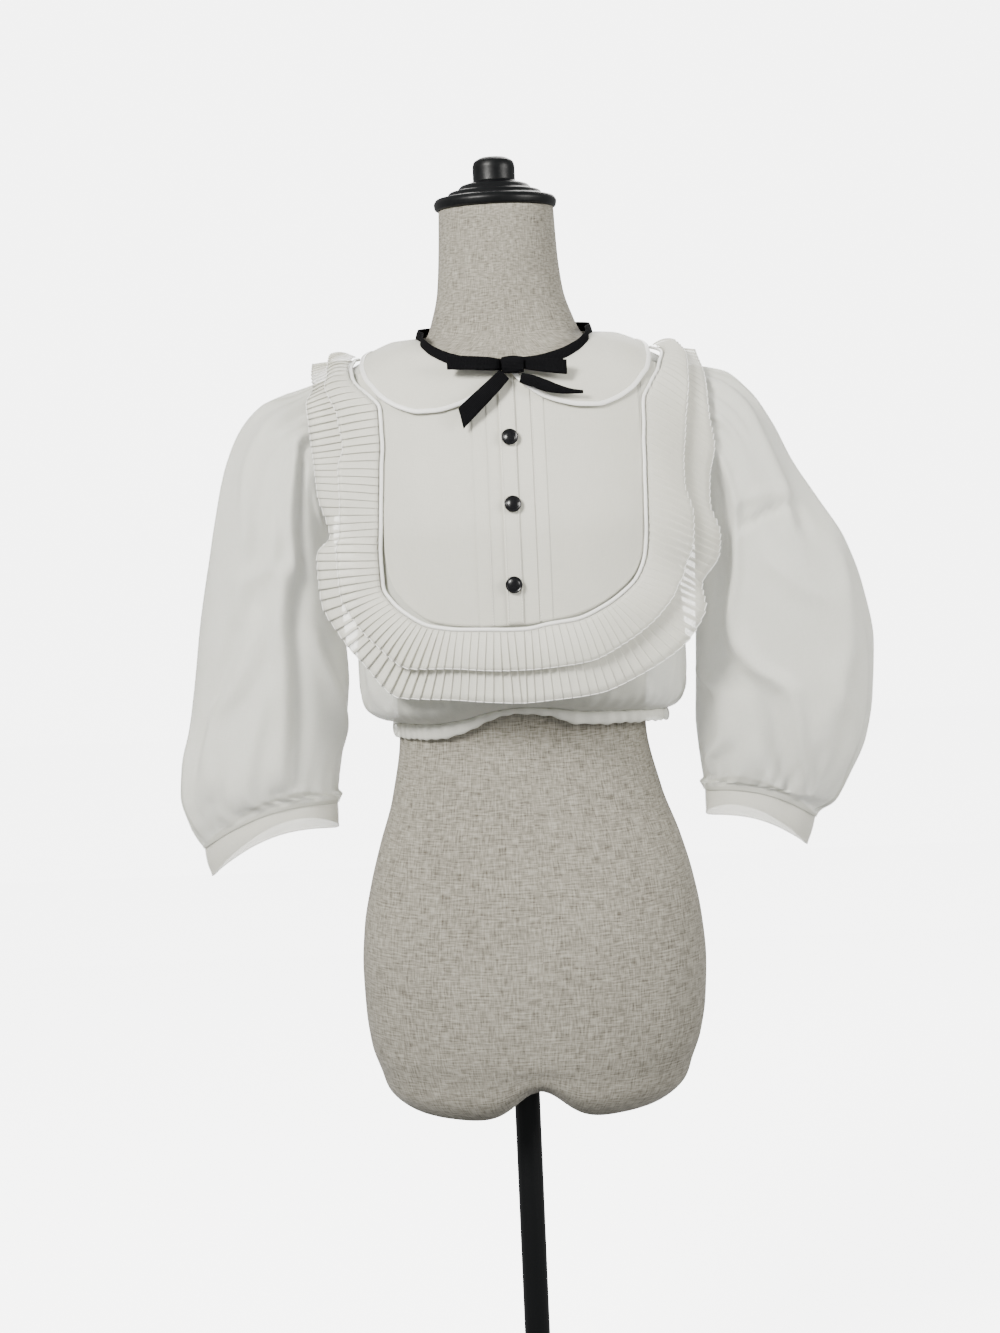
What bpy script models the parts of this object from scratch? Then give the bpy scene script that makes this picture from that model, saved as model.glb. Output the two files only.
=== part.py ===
"""A cropped puff sleeve blouse worn by a limbless dress form on a pole and a round base.

Sizes in the tables are millimetres, and the meshes are made in metres. +Z is up, the front faces -Y
and +X is to the right as the blouse is looked at. The origin is under the middle of the base.
An angle round the body is 0 at the centre front, 90 at the +X side and 180 at the centre back.
"""
import math
from bisect import bisect_right

import bmesh
import bpy
from mathutils import Vector

MM = 0.001
# The pole stands a little to one side of the form's middle, so the worn things stand at this x.
BODY_X = 9.0

CLOTH = 1.2
SEAM_GAP = 0.4
BODICE_OVER_CASING = 1.2
BODICE_COLUMNS = 24
BIB_OFFSET = CLOTH + 1.1
COLLAR_OFFSET = 5.5
PLEATS = 76
RUFFLE_WALL = 0.9
RUFFLE_SEAM_STEP = 3.3
RUFFLE_OUT = 6.5
PIPING_POINTS = 41
RUFFLE_LIFT = 7.5
PLEAT_AT_SEAM = 0.5
PLEAT_AT_EDGE = 1.3
SLEEVE_POINTS = 30
CUFF_WALL = 1.5
CASING_POINTS = 48
POLE_RADIUS = 12.5
POLE_TOP = 478.0
BASE_RADIUS = 165.0

# The cloth's inner face, section by section: height, half width on each side, depth to the front
# and to the back, and how square the section is.
BODY_COLUMNS = ("z", "left", "right", "front", "back", "square")
BODY = (
    (760, 140, 148, 112, 92, 2.4),
    (780, 150, 157, 120, 97, 2.5),
    (810, 153, 160, 128, 101, 2.6),
    (850, 152, 158, 132, 104, 2.7),
    (900, 151, 156, 134, 107, 2.8),
    (955, 152, 156, 133, 110, 2.8),
    (1000, 158, 161, 124, 110, 2.6),
    (1035, 169, 170, 112, 108, 2.5),
    (1060, 177, 178, 104, 104, 2.5),
    (1084, 181, 182, 95, 96, 2.5),
    (1098, 176, 177, 88, 89, 2.4),
    (1110, 160, 160, 82, 82, 2.3),
    (1122, 138, 138, 76, 76, 2.2),
    (1133, 110, 110, 71, 69, 2.1),
    (1143, 80, 80, 67, 63, 2.0),
    (1156, 74, 74, 62, 59, 2.0),
)

# The dress form, with the same columns.
FORM = (
    (440, 150, 154, 100, 100, 2.3),
    (465, 158, 163, 106, 108, 2.3),
    (500, 162, 169, 110, 116, 2.3),
    (540, 163, 171, 112, 120, 2.3),
    (580, 160, 168, 111, 118, 2.3),
    (620, 152, 161, 107, 111, 2.3),
    (660, 141, 150, 101, 100, 2.3),
    (705, 127, 134, 93, 87, 2.3),
    (770, 117, 121, 87, 77, 2.3),
    (810, 119, 123, 91, 80, 2.3),
    (860, 128, 131, 100, 88, 2.3),
    (905, 137, 140, 111, 98, 2.3),
    (950, 144, 147, 116, 104, 2.3),
    (1000, 150, 153, 112, 105, 2.3),
    (1045, 164, 166, 102, 101, 2.3),
    (1080, 173, 174, 90, 91, 2.3),
    (1096.4, 168, 169, 83, 84, 2.2),
    (1108.4, 152, 152, 77, 77, 2.2),
    (1120.4, 131, 131, 72, 71, 2.1),
    (1131.4, 103, 103, 67, 65, 2.0),
    (1142.4, 75, 75, 62, 58, 2.0),
    (1160, 68, 66, 59, 55, 2.0),
    (1185, 62, 58, 57, 53, 2.0),
    (1220, 59, 54, 55, 50, 2.0),
    (1262, 57, 52, 54, 50, 2.0),
)
# The form's closed underside: height, and the last section's size as a share.
FORM_FOOT_COLUMNS = ("z", "share")
FORM_FOOT = (
    (395, 0.34),
    (396, 0.58),
    (401, 0.77),
    (411, 0.89),
    (424, 0.965),
)
FORM_POINTS = 24
BUST_OUT = 17.0
BUST_X = 70.0
BUST_Z = 950.0
BUST_WIDE = 42.0
BUST_TALL = 48.0
NOTCH_HIGH = 31.0
NOTCH_WIDE = 30.0
NOTCH_FADE = 60.0

# The neckline's height round the body, the same on both sides.
NECK_ANGLE = (0, 7, 15, 24, 34, 52, 90, 135, 180)
NECK_Z = (1108, 1110, 1115, 1122, 1129, 1137.5, 1143, 1147, 1149)

# The hem's casing round the body: angle, its lower and upper heights, and how far it stands off the
# form.
HEM_COLUMNS = ("angle", "low", "high", "off")
HEM = (
    (-180, 768, 783, 0.0),
    (-120, 768, 783, 0.0),
    (-90, 766, 781, 1.0),
    (-60, 767, 782, 1.2),
    (-37.5, 768, 783, 3.5),
    (-22.5, 774, 787, 5.0),
    (-7.5, 788, 795, 4.5),
    (0, 791, 797, 3.5),
    (7.5, 788, 796, 4.5),
    (22.5, 778, 791, 6.0),
    (45, 776, 788, 11.0),
    (67.5, 774, 785, 18.0),
    (90, 770, 782, 17.0),
    (120, 768, 783, 5.0),
    (180, 768, 783, 0.0),
)
WAIST_Z = 785.0
CASING_THICK = 4.6
CASING_RIPPLE = 0.7

# How the bodice leaves the casing: rise above it, and the share of the way out to the full section.
BLOUSON_RISE = (0.0, 5.0, 16.0, 34.0, 60.0)
BLOUSON_OUT = (0.0, 0.50, 0.84, 0.97, 1.0)
BODICE_SHARES = (0.0, 0.015, 0.05, 0.12, 0.24, 0.37, 0.49, 0.59, 0.68, 0.76, 0.83, 0.885, 0.93,
                 0.965, 1.0)
HEM_GATHERS = 12
HEM_GATHER_DEEP = 1.6

# The armhole's edge: height and angle round the body, on the front and on the back.
ARMHOLE_Z = (985, 992, 1005, 1025, 1050, 1072, 1088, 1099, 1105)
ARMHOLE_ANGLE = (90, 82, 76, 71, 70, 73, 78, 84, 90)

# The bib's lower edge: x and height.
BIB_X = (-115.5, -112, -104, -93, -76, -52, -26, 0, 28, 52, 73, 92, 107, 115, 118)
BIB_Z = (945, 923, 905, 893, 882, 877.5, 876, 876, 879, 883, 891, 903, 918, 938, 962)
# Its upper edge, the same on both sides.
BIB_TOP_X = (0, 25, 45, 60, 80, 118)
BIB_TOP_Z = (1106, 1108, 1112, 1115, 1114, 1098)
# The pintucks' folds, the places where columns of the bib lie, and the bib's other columns.
PINTUCK_X = (-33.0, -20.0, 20.0, 32.0)
PINTUCK_HIGH = 1.0
PINTUCK_WIDE = 2.4
BIB_ROWS = 9
BIB_SHOULDER_LIFT = 0.9
BIB_PLAIN_X = (-115.5, -112, -105, -95, -80, -62, -45, -10, 0, 10, 45, 62, 80, 95, 106, 113, 118)
PLACKET_X = (-8.5, 6.5)
BUTTONS = ((0.5, 1044.0), (0.5, 984.0), (-1.5, 913.0))

# The collar's outer edge: angle round the neck, then angle and height of the edge.
COLLAR_COLUMNS = ("neck_angle", "edge_angle", "edge_z")
COLLAR = (
    (0.6, 1.0, 1103.0),
    (2.5, 3.0, 1091.0),
    (6.0, 6.5, 1080.0),
    (10.0, 11.0, 1073.5),
    (14.5, 16.5, 1069.5),
    (19.5, 21.5, 1069.0),
    (25.0, 27.5, 1074.0),
    (31.0, 34.0, 1084.0),
    (38.0, 41.0, 1096.0),
    (48.0, 51.5, 1108.0),
    (64.0, 66.0, 1119.5),
    (90.0, 90.0, 1127.0),
    (104.0, 112.0, 1118.0),
    (116.0, 128.0, 1106.0),
    (128.0, 140.0, 1094.0),
    (141.0, 151.0, 1084.0),
    (154.0, 162.0, 1078.0),
    (167.0, 171.0, 1076.0),
    (179.7, 179.7, 1075.0),
)
COLLAR_ACROSS = (0.0, 0.3, 0.62, 0.88, 0.94, 1.0)
COLLAR_THICK = (1.2, 1.2, 1.2, 1.2, 2.4, 2.0)

# The ruffles, station by station from one shoulder round under the bib to the other: the seam's
# angle and height, the lower ruffle's free edge, and the upper one's width as a share of the lower.
RUFFLE_COLUMNS = ("seam_angle", "seam_z", "edge_x", "edge_y", "edge_z", "share")
RUFFLES = (
    (-94, 1122.4, -183, 5, 1124, 0.50),
    (-77, 1119.5, -182, -30, 1112, 0.50),
    (-62, 1111, -180, -54, 1099, 0.50),
    (-46, 1096, -186, -65, 1084, 0.52),
    (-35, 1076, -185, -68, 1066, 0.52),
    (-36.3, 1048, -183, -72, 1042, 0.49),
    (-39.7, 1021, -181, -76, 1024, 0.57),
    (-42.3, 994, -179, -80, 1001, 0.57),
    (-43.7, 966, -169, -84, 964, 0.70),
    (-44.7, 943, -181, -86, 945, 0.60),
    (-44.3, 916, -179, -90, 904, 0.60),
    (-39.9, 902, -163, -99, 871, 0.60),
    (-32.1, 889, -141, -112, 844, 0.59),
    (-23.5, 879, -110, -126, 814, 0.56),
    (-13.2, 875, -62, -138, 811, 0.52),
    (-4.8, 874, -30, -142, 808, 0.53),
    (0.1, 873, 3, -143, 806, 0.52),
    (5.6, 877, 37, -142, 808, 0.54),
    (12.9, 880, 70, -136, 811, 0.53),
    (21.1, 889, 110, -126, 825, 0.50),
    (29.5, 901, 156, -110, 854, 0.47),
    (36.7, 915, 174, -98, 884, 0.49),
    (41.3, 936, 172, -92, 902, 0.58),
    (42.6, 961, 188, -86, 928, 0.56),
    (42.8, 988, 190, -84, 949, 0.56),
    (42.1, 1015, 183, -80, 976, 0.52),
    (39.9, 1043, 184, -76, 1002, 0.52),
    (38.0, 1074, 190, -72, 1030, 0.52),
    (47.5, 1098, 187, -66, 1060, 0.50),
    (65.0, 1112, 186, -40, 1094, 0.46),
    (94.0, 1122.4, 182, 5, 1122, 0.46),
)

# The sleeves, ring by ring below the armhole: the outer and inner ends of the ring, its half depth,
# where its middle lies front to back, and how far its front and back are lifted over its ends.
SLEEVE_COLUMNS = ("outer_x", "outer_z", "inner_x", "inner_z", "deep", "mid_y", "arch")
SLEEVE_LEFT = (
    (-203, 1096, -170, 978, 57, -1, 0),
    (-228, 1088, -172, 958, 61, -2, 0),
    (-251, 1065, -170, 932, 64, -3, 0),
    (-268, 1030, -168, 905, 66, -4, 0),
    (-281, 983, -166, 878, 67, -5, 0),
    (-293, 932, -164, 852, 67, -6, 0),
    (-303, 880, -163, 826, 67, -6, 0),
    (-310, 832, -165, 802, 66, -6, 0),
    (-318, 785, -169, 775, 65, -6, 0),
    (-327, 746, -174, 748, 63, -6, 0),
    (-330, 716, -178, 728, 59, -6, 4),
    (-323, 690, -180, 716, 54, -6, 10),
)
SLEEVE_RIGHT = (
    (206, 1099, 173, 978, 57, -1, 0),
    (232, 1077, 175, 958, 62, -2, 0),
    (250, 1048, 175, 932, 66, -3, 0),
    (267, 1012, 174, 905, 69, -5, 0),
    (291, 975, 173, 878, 71, -7, 0),
    (316, 938, 172, 852, 73, -9, 0),
    (333, 890, 171, 824, 74, -10, 0),
    (342, 838, 170, 798, 74, -10, 0),
    (340, 788, 169, 772, 72, -9, 0),
    (332, 746, 171, 746, 67, -8, 0),
    (316, 712, 174, 724, 60, -7, 4),
    (299, 684, 176, 712, 52, -6, 8),
)
CUFF_COLUMNS = SLEEVE_COLUMNS
CUFF_LEFT = (
    (-309, 667, -181, 707, 44, -6, 16),
    (-307, 652, -181, 694, 44, -6, 17),
    (-303, 637, -181, 680, 43, -6, 19),
)
CUFF_RIGHT = (
    (280, 672, 177, 704, 42, -6, 14),
    (276, 658, 177, 691, 42, -6, 14),
    (271, 643, 177, 677, 41, -6, 14),
)
# Folds along the sleeves: ring and angle where each starts and ends, its height and its half width.
FOLD_COLUMNS = ("ring_from", "angle_from", "ring_to", "angle_to", "high", "wide")
FOLDS_LEFT = (
    (1.0, 118.0, 6.0, 112.0, 9.0, 13.0),
    (5.0, 118.0, 9.0, 100.0, 8.0, 15.0),
    (3.0, 62.0, 7.5, 70.0, -8.0, 16.0),
    (6.5, 60.0, 11.0, 40.0, 7.0, 14.0),
    (6.5, 138.0, 10.0, 150.0, 6.0, 12.0),
    (2.0, -70.0, 8.0, -60.0, 7.0, 16.0),
    (5.0, -120.0, 11.0, -105.0, 8.0, 16.0),
    (1.0, -115.0, 4.0, -118.0, -6.0, 14.0),
)
FOLDS_RIGHT = (
    (0.5, 108.0, 4.0, 74.0, 9.0, 14.0),
    (3.5, 108.0, 5.0, 72.0, -9.0, 13.0),
    (4.6, 104.0, 6.4, 82.0, 9.0, 15.0),
    (6.4, 112.0, 8.6, 74.0, 12.0, 13.0),
    (8.6, 76.0, 10.6, 64.0, 10.0, 13.0),
    (8.0, 108.0, 10.0, 98.0, -6.0, 18.0),
    (1.0, -75.0, 8.0, -62.0, 8.0, 16.0),
    (4.0, -118.0, 11.0, -108.0, 8.0, 16.0),
)
HEAD_GATHERS = 8
HEAD_GATHER_DEEP = 2.2
CUFF_GATHERS = 6
CUFF_GATHER_DEEP = 2.2

# The bow's ribbons: x, y and height of the middle, and the ribbon's width there.
RIBBON_COLUMNS = ("x", "y", "z", "wide")
LOOP_LEFT = (
    (-5, -99.5, 1112.5, 9.0),
    (-16, -104.0, 1113.5, 11.5),
    (-32, -105.0, 1114.5, 12.5),
    (-47, -103.5, 1115.5, 13.0),
    (-53.5, -100.5, 1116.0, 13.0),
    (-52, -97.0, 1116.0, 13.0),
    (-40, -96.0, 1115.5, 12.5),
    (-25, -97.0, 1114.5, 12.0),
    (-12, -97.5, 1113.5, 11.0),
    (-5, -96.5, 1112.5, 9.0),
)
LOOP_RIGHT = (
    (17, -101.0, 1111.5, 9.0),
    (27, -105.5, 1110.5, 11.5),
    (38, -106.5, 1109.5, 12.5),
    (49, -105.5, 1108.0, 13.0),
    (55, -102.5, 1107.5, 13.0),
    (53.5, -99.0, 1107.5, 13.0),
    (44, -98.0, 1108.5, 12.5),
    (33, -98.5, 1110.0, 12.0),
    (24, -99.0, 1111.0, 11.0),
    (17, -98.0, 1111.5, 9.0),
)
TAIL_LEFT = (
    (-2, -101.0, 1103.0, 12.0),
    (-10, -107.0, 1095.0, 13.5),
    (-22, -111.0, 1084.0, 15.0),
    (-33, -113.5, 1074.0, 16.0),
    (-43, -115.0, 1064.5, 16.5),
)
TAIL_RIGHT = (
    (13, -101.0, 1099.3, 9.0),
    (23, -106.0, 1096.0, 10.5),
    (34, -108.5, 1091.5, 10.5),
    (46, -109.0, 1087.5, 8.0),
    (58, -108.5, 1085.0, 4.5),
    (69, -108.0, 1084.0, 2.6),
)
RIBBON_THICK = 1.0

# Turned pieces: radius and height, down the outer side from the top.
CAP_PROFILE = (
    (0, 1312), (12, 1311), (18.5, 1307.5), (20, 1303), (20, 1288.5), (32, 1285), (35.5, 1280.5),
    (43, 1279), (45.5, 1275), (56, 1273), (58.5, 1269), (57.5, 1263.8), (55.5, 1262.4), (0, 1262.4),
)
BASE_PROFILE = (
    (12.8, 46), (21, 46), (22, 24), (30, 17), (150, 12), (162, 9), (BASE_RADIUS, 4),
    (BASE_RADIUS, 0), (0, 0), (0, 8), (12.8, 8),
)
BUTTON_PROFILE = (
    (0, 3.6), (4.2, 2.8), (5.9, 2.2), (7.2, 2.7), (7.8, 1.4), (6.8, 0.0), (0, 0.0),
)


def smooth(xs, ys, x):
    """The value at x on a smooth curve through the points, which never goes past them."""
    if x <= xs[0]:
        return ys[0]
    if x >= xs[-1]:
        return ys[-1]
    last = len(xs) - 1
    i = bisect_right(xs, x) - 1

    def slope(k):
        if k == 0:
            return (ys[1] - ys[0]) / (xs[1] - xs[0])
        if k == last:
            return (ys[last] - ys[last - 1]) / (xs[last] - xs[last - 1])
        before = (ys[k] - ys[k - 1]) / (xs[k] - xs[k - 1])
        after = (ys[k + 1] - ys[k]) / (xs[k + 1] - xs[k])
        if before * after <= 0:
            return 0.0
        return 2 * before * after / (before + after)

    span = xs[i + 1] - xs[i]
    t = (x - xs[i]) / span
    start = (1 + 2 * t) * (1 - t) ** 2 * ys[i] + t * (1 - t) ** 2 * slope(i) * span
    end = t * t * (3 - 2 * t) * ys[i + 1] + t * t * (t - 1) * slope(i + 1) * span
    return start + end


def read(table, columns, name, key_name, key):
    """One column of a table, at a value of another column."""
    k = columns.index(key_name)
    c = columns.index(name)
    return smooth([row[k] for row in table], [row[c] for row in table], key)


def at_row(table, columns, name, place):
    """One column of a table at a place counted in rows, with a smooth course between rows."""
    c = columns.index(name)
    rows = list(range(len(table)))
    return smooth(rows, [row[c] for row in table], place)


def section(table, z):
    return {name: read(table, BODY_COLUMNS, name, "z", z) for name in BODY_COLUMNS}


def round_section(size, angle):
    """x and y on a rounded section at an angle from the centre front."""
    s = math.sin(math.radians(angle))
    c = math.cos(math.radians(angle))
    power = 2.0 / size["square"]
    half = size["right"] if s > 0 else size["left"]
    deep = size["front"] if c > 0 else size["back"]
    x = math.copysign(half * abs(s) ** power, s)
    y = -math.copysign(deep * abs(c) ** power, c)
    return x, y


def body_bare(angle, z):
    x, y = round_section(section(BODY, z), angle)
    return Vector((x, y, z))


def body_point(angle, z, out=0.0):
    """A point on the cloth's inner face, moved out along the face's normal."""
    here = body_bare(angle, z)
    if out == 0.0:
        return here
    around = body_bare(angle + 0.8, z) - body_bare(angle - 0.8, z)
    up = body_bare(angle, z + 1.5) - body_bare(angle, z - 1.5)
    return here + around.cross(up).normalized() * out


def front_bare(x, z):
    size = section(BODY, z)
    half = size["right"] if x > 0 else size["left"]
    inside = max(1.0 - min(abs(x) / half, 1.0) ** size["square"], 0.0)
    return Vector((x, -size["front"] * inside ** (1.0 / size["square"]), z))


def front_point(x, z, out=0.0):
    """A point on the front of the cloth's inner face at x, moved out along the normal."""
    here = front_bare(x, z)
    across = front_bare(x + 1.0, z) - front_bare(x - 1.0, z)
    up = front_bare(x, z + 1.5) - front_bare(x, z - 1.5)
    return here + across.cross(up).normalized() * out


def neck_height(angle):
    turned = abs((angle + 180.0) % 360.0 - 180.0)
    return smooth(NECK_ANGLE, NECK_Z, turned)


def hem(name, angle):
    turned = (angle + 180.0) % 360.0 - 180.0
    return read(HEM, HEM_COLUMNS, name, "angle", turned)


def new_object(name, material, points, faces):
    mesh = bpy.data.meshes.new(name)
    mesh.from_pydata([(p + Vector((BODY_X, 0, 0))) * MM for p in points], [], faces)
    mesh.validate()
    made = bpy.data.objects.new(name, mesh)
    made.data.materials.append(material)
    parts.objects.link(made)
    edit = bmesh.new()
    edit.from_mesh(mesh)
    bmesh.ops.remove_doubles(edit, verts=edit.verts, dist=1e-6)
    bmesh.ops.recalc_face_normals(edit, faces=edit.faces)
    edit.to_mesh(mesh)
    edit.free()
    return made


def wall(name, material, inner, outer, closed=False):
    """A wall between an inner and an outer grid of points, closed round its rims."""
    rows = len(inner)
    cols = len(inner[0])
    points = [p for row in inner for p in row] + [p for row in outer for p in row]
    side = rows * cols
    faces = []
    spans = cols if closed else cols - 1
    for r in range(rows - 1):
        for c in range(spans):
            n = (c + 1) % cols
            a, b, d, e = r * cols + c, r * cols + n, (r + 1) * cols + n, (r + 1) * cols + c
            faces.append((a, b, d, e))
            faces.append((side + e, side + d, side + b, side + a))
    for r in (0, rows - 1):
        for c in range(spans):
            n = (c + 1) % cols
            a, b = r * cols + c, r * cols + n
            faces.append((a, side + a, side + b, b) if r == 0 else (b, side + b, side + a, a))
    if not closed:
        for c in (0, cols - 1):
            for r in range(rows - 1):
                a, b = r * cols + c, (r + 1) * cols + c
                faces.append((b, side + b, side + a, a) if c == 0 else (a, side + a, side + b, b))
    return new_object(name, material, points, faces)


def moved(grid, distance, closed=False):
    """A grid of points moved along its own normals, by one distance or a function of row, column."""
    rows = len(grid)
    cols = len(grid[0])
    result = []
    for r in range(rows):
        line = []
        for c in range(cols):
            up = grid[min(r + 1, rows - 1)][c] - grid[max(r - 1, 0)][c]
            if closed:
                across = grid[r][(c + 1) % cols] - grid[r][(c - 1) % cols]
            else:
                across = grid[r][min(c + 1, cols - 1)] - grid[r][max(c - 1, 0)]
            step = distance(r, c) if callable(distance) else distance
            line.append(grid[r][c] + across.cross(up).normalized() * step)
        result.append(line)
    return result


def solid(name, material, rings):
    """A closed solid through rings of points, with its ends filled from their middles."""
    cols = len(rings[0])
    points = [p for ring in rings for p in ring]
    faces = []
    for r in range(len(rings) - 1):
        for c in range(cols):
            n = (c + 1) % cols
            faces.append((r * cols + c, r * cols + n, (r + 1) * cols + n, (r + 1) * cols + c))
    for r in (0, len(rings) - 1):
        middle = sum(rings[r], Vector()) / cols
        points.append(middle)
        for c in range(cols):
            faces.append((r * cols + c, len(points) - 1, r * cols + (c + 1) % cols))
    return new_object(name, material, points, faces)


def turned_piece(name, material, profile, steps):
    """A profile of radius and height turned round the Z axis by a Screw modifier."""
    mesh = bpy.data.meshes.new(name)
    points = [(radius * MM, 0, height * MM) for radius, height in profile]
    edges = [(i, i + 1) for i in range(len(points) - 1) if profile[i][0] + profile[i + 1][0] > 0]
    if profile[0][0] > 0:
        edges.append((len(points) - 1, 0))
    mesh.from_pydata(points, edges, [])
    made = bpy.data.objects.new(name, mesh)
    made.data.materials.append(material)
    parts.objects.link(made)
    screw = made.modifiers.new("turn", "SCREW")
    screw.steps = steps
    screw.render_steps = steps
    screw.use_merge_vertices = True
    screw.merge_threshold = 0.0001
    screw.use_normal_calculate = True
    screw.use_normal_flip = profile[0][0] > 0
    return made


def material(name, colour, roughness, metallic=0.0):
    made = bpy.data.materials.new(name)
    made.use_nodes = True
    shader = made.node_tree.nodes["Principled BSDF"]
    shader.inputs["Base Color"].default_value = (*colour, 1.0)
    shader.inputs["Roughness"].default_value = roughness
    shader.inputs["Metallic"].default_value = metallic
    return made


# Start from an empty file.
for old in list(bpy.data.objects):
    bpy.data.objects.remove(old)
parts = bpy.data.collections.new("puff_sleeve_blouse_on_form")
cutters = bpy.data.collections.new("cutters")
for group in (parts, cutters):
    bpy.context.scene.collection.children.link(group)

organza = material("organza", (0.62, 0.61, 0.56), 0.75)
organza_pleated = material("organza_pleated", (0.68, 0.67, 0.61), 0.75)
piping_white = material("piping_white", (0.80, 0.79, 0.74), 0.5)
ribbon_black = material("ribbon_black", (0.012, 0.012, 0.013), 0.8)
button_black = material("button_black", (0.010, 0.010, 0.011), 0.35)
linen = material("linen", (0.47, 0.42, 0.35), 0.9)
cap_black = material("cap_black", (0.015, 0.016, 0.018), 0.45)
stand_black = material("stand_black", (0.008, 0.008, 0.009), 0.5)


# The form's torso: one whole skin, with the bust, and the two rounded lobes of its underside.
def form_point(size, z, angle, share=1.0):
    x, y = round_section(size, angle)
    x *= share
    y *= share
    if y < 0:
        for side in (-1, 1):
            across = (x - side * BUST_X) / BUST_WIDE
            along = (z - BUST_Z) / BUST_TALL
            y -= BUST_OUT * math.exp(-across * across - along * along)
    fade = min(max((455.0 - z) / NOTCH_FADE, 0.0), 1.0)
    lift = NOTCH_HIGH * fade * math.exp(-((x - 3.0) / NOTCH_WIDE) ** 2)
    return Vector((x, y, z + lift))


foot_size = dict(zip(BODY_COLUMNS, FORM[0]))
form_rings = []
for z, share in FORM_FOOT:
    form_rings.append([form_point(foot_size, z, i * 360.0 / FORM_POINTS, share)
                       for i in range(FORM_POINTS)])
for row in FORM:
    row_size = dict(zip(BODY_COLUMNS, row))
    form_rings.append([form_point(row_size, row[0], i * 360.0 / FORM_POINTS)
                       for i in range(FORM_POINTS)])
form_torso = solid("form_torso", linen, form_rings)

# The torso is bored from below for the pole.
bpy.ops.mesh.primitive_cylinder_add(vertices=24, radius=(POLE_RADIUS + 0.4) * MM, depth=0.14,
                                    location=(0, 0, (POLE_TOP + 0.4) * MM - 0.07))
pole_bore = bpy.context.object
pole_bore.name = "pole_bore_cutter"
for group in list(pole_bore.users_collection):
    group.objects.unlink(pole_bore)
cutters.objects.link(pole_bore)
pole_bore.hide_render = True
pole_bore.display_type = "WIRE"
bore = form_torso.modifiers.new("pole_bore", "BOOLEAN")
bore.operation = "DIFFERENCE"
bore.solver = "EXACT"
bore.object = pole_bore

# The cap on the neck, the pole and the base.
neck_cap = turned_piece("neck_cap", cap_black, CAP_PROFILE, 24)
neck_cap.location = ((BODY_X - 3.0) * MM, 0.001, 0)
stand_base = turned_piece("stand_base", stand_black, BASE_PROFILE, 32)
bpy.ops.mesh.primitive_cylinder_add(vertices=24, radius=POLE_RADIUS * MM,
                                    depth=(POLE_TOP - 8.4) * MM,
                                    location=(0, 0, (POLE_TOP + 8.4) / 2 * MM))
pole = bpy.context.object
pole.name = "stand_pole"
pole.data.materials.append(stand_black)
for group in list(pole.users_collection):
    group.objects.unlink(pole)
parts.objects.link(pole)


# The bodice's front and back, from the casing at the hem up to the neckline, with the armholes
# left open between the side seams and the shoulder seams.
def armhole_angle(z):
    return smooth(ARMHOLE_Z, ARMHOLE_ANGLE, z)


def waist_point(angle, z, extra=0.0):
    """Where the casing lies: the form's own section at the waist, with the casing's stand-off."""
    x, y = round_section(section(FORM, WAIST_Z), angle)
    across = Vector((x, y, 0)).normalized() * (hem("off", angle) + extra)
    return Vector((x, y, z)) + across


def bodice_point(angle, share):
    low = hem("high", angle) + BODICE_OVER_CASING
    z = low + share * (neck_height(angle) - low)
    full = body_point(angle, z)
    out = smooth(BLOUSON_RISE, BLOUSON_OUT, z - low)
    if out < 1.0:
        gather = HEM_GATHER_DEEP * math.cos(math.radians(angle * HEM_GATHERS)) * out * (1 - out) * 4
        waist = waist_point(angle, z, CASING_THICK / 2 + gather)
        full = waist.lerp(full, out)
    return full


def bodice_panel(name, centre, steps):
    grid = []
    for share in BODICE_SHARES:
        line = []
        for i in range(steps + 1):
            turn = -1.0 + 2.0 * i / steps
            z_side = hem("high", centre + 90 * turn) + BODICE_OVER_CASING
            z_side += share * (neck_height(centre + 90 * turn) - z_side)
            widest = armhole_angle(z_side) if ARMHOLE_Z[0] < z_side < ARMHOLE_Z[-1] else 90.0
            point = bodice_point(centre + widest * turn, share)
            if i in (0, steps) and widest > 89.9:
                point.y += math.copysign(SEAM_GAP / 2, -math.cos(math.radians(centre)))
            line.append(point)
        grid.append(line)
    return wall(name, organza, grid, moved(grid, CLOTH))


bodice_front = bodice_panel("bodice_front", 0.0, BODICE_COLUMNS)
bodice_back = bodice_panel("bodice_back", 180.0, BODICE_COLUMNS - 8)

# The casing round the hem, a gathered tube with elastic in it.
casing_rings = []
for i in range(CASING_POINTS):
    angle = -180.0 + 360.0 * i / CASING_POINTS
    low = hem("low", angle)
    high = hem("high", angle)
    ripple = CASING_RIPPLE * (1 if i % 2 else -1)
    ring = []
    for k in range(6):
        turn = math.radians(60.0 * k)
        extra = CASING_THICK / 2 + (CASING_THICK / 2 + ripple * 0.5) * math.cos(turn)
        z = (low + high) / 2 + (high - low) / 2 * math.sin(turn)
        ring.append(waist_point(angle, z, extra))
    casing_rings.append(ring)
casing_faces = []
for i in range(CASING_POINTS):
    for k in range(6):
        j = (i + 1) % CASING_POINTS
        m = (k + 1) % 6
        casing_faces.append((i * 6 + k, j * 6 + k, j * 6 + m, i * 6 + m))
hem_casing = new_object("hem_casing", piping_white, [p for ring in casing_rings for p in ring],
                        casing_faces)

# The bib over the front, with its pintucks, and the placket strip down its middle.
bib_columns = sorted(set(BIB_PLAIN_X) | {x + d for x in PINTUCK_X
                                          for d in (-PINTUCK_WIDE / 2, 0.0, PINTUCK_WIDE / 2)})


def bib_top(x):
    """The bib ends just under the neckline, and near the shoulder at its sides."""
    return smooth(BIB_TOP_X, BIB_TOP_Z, abs(x))


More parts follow.
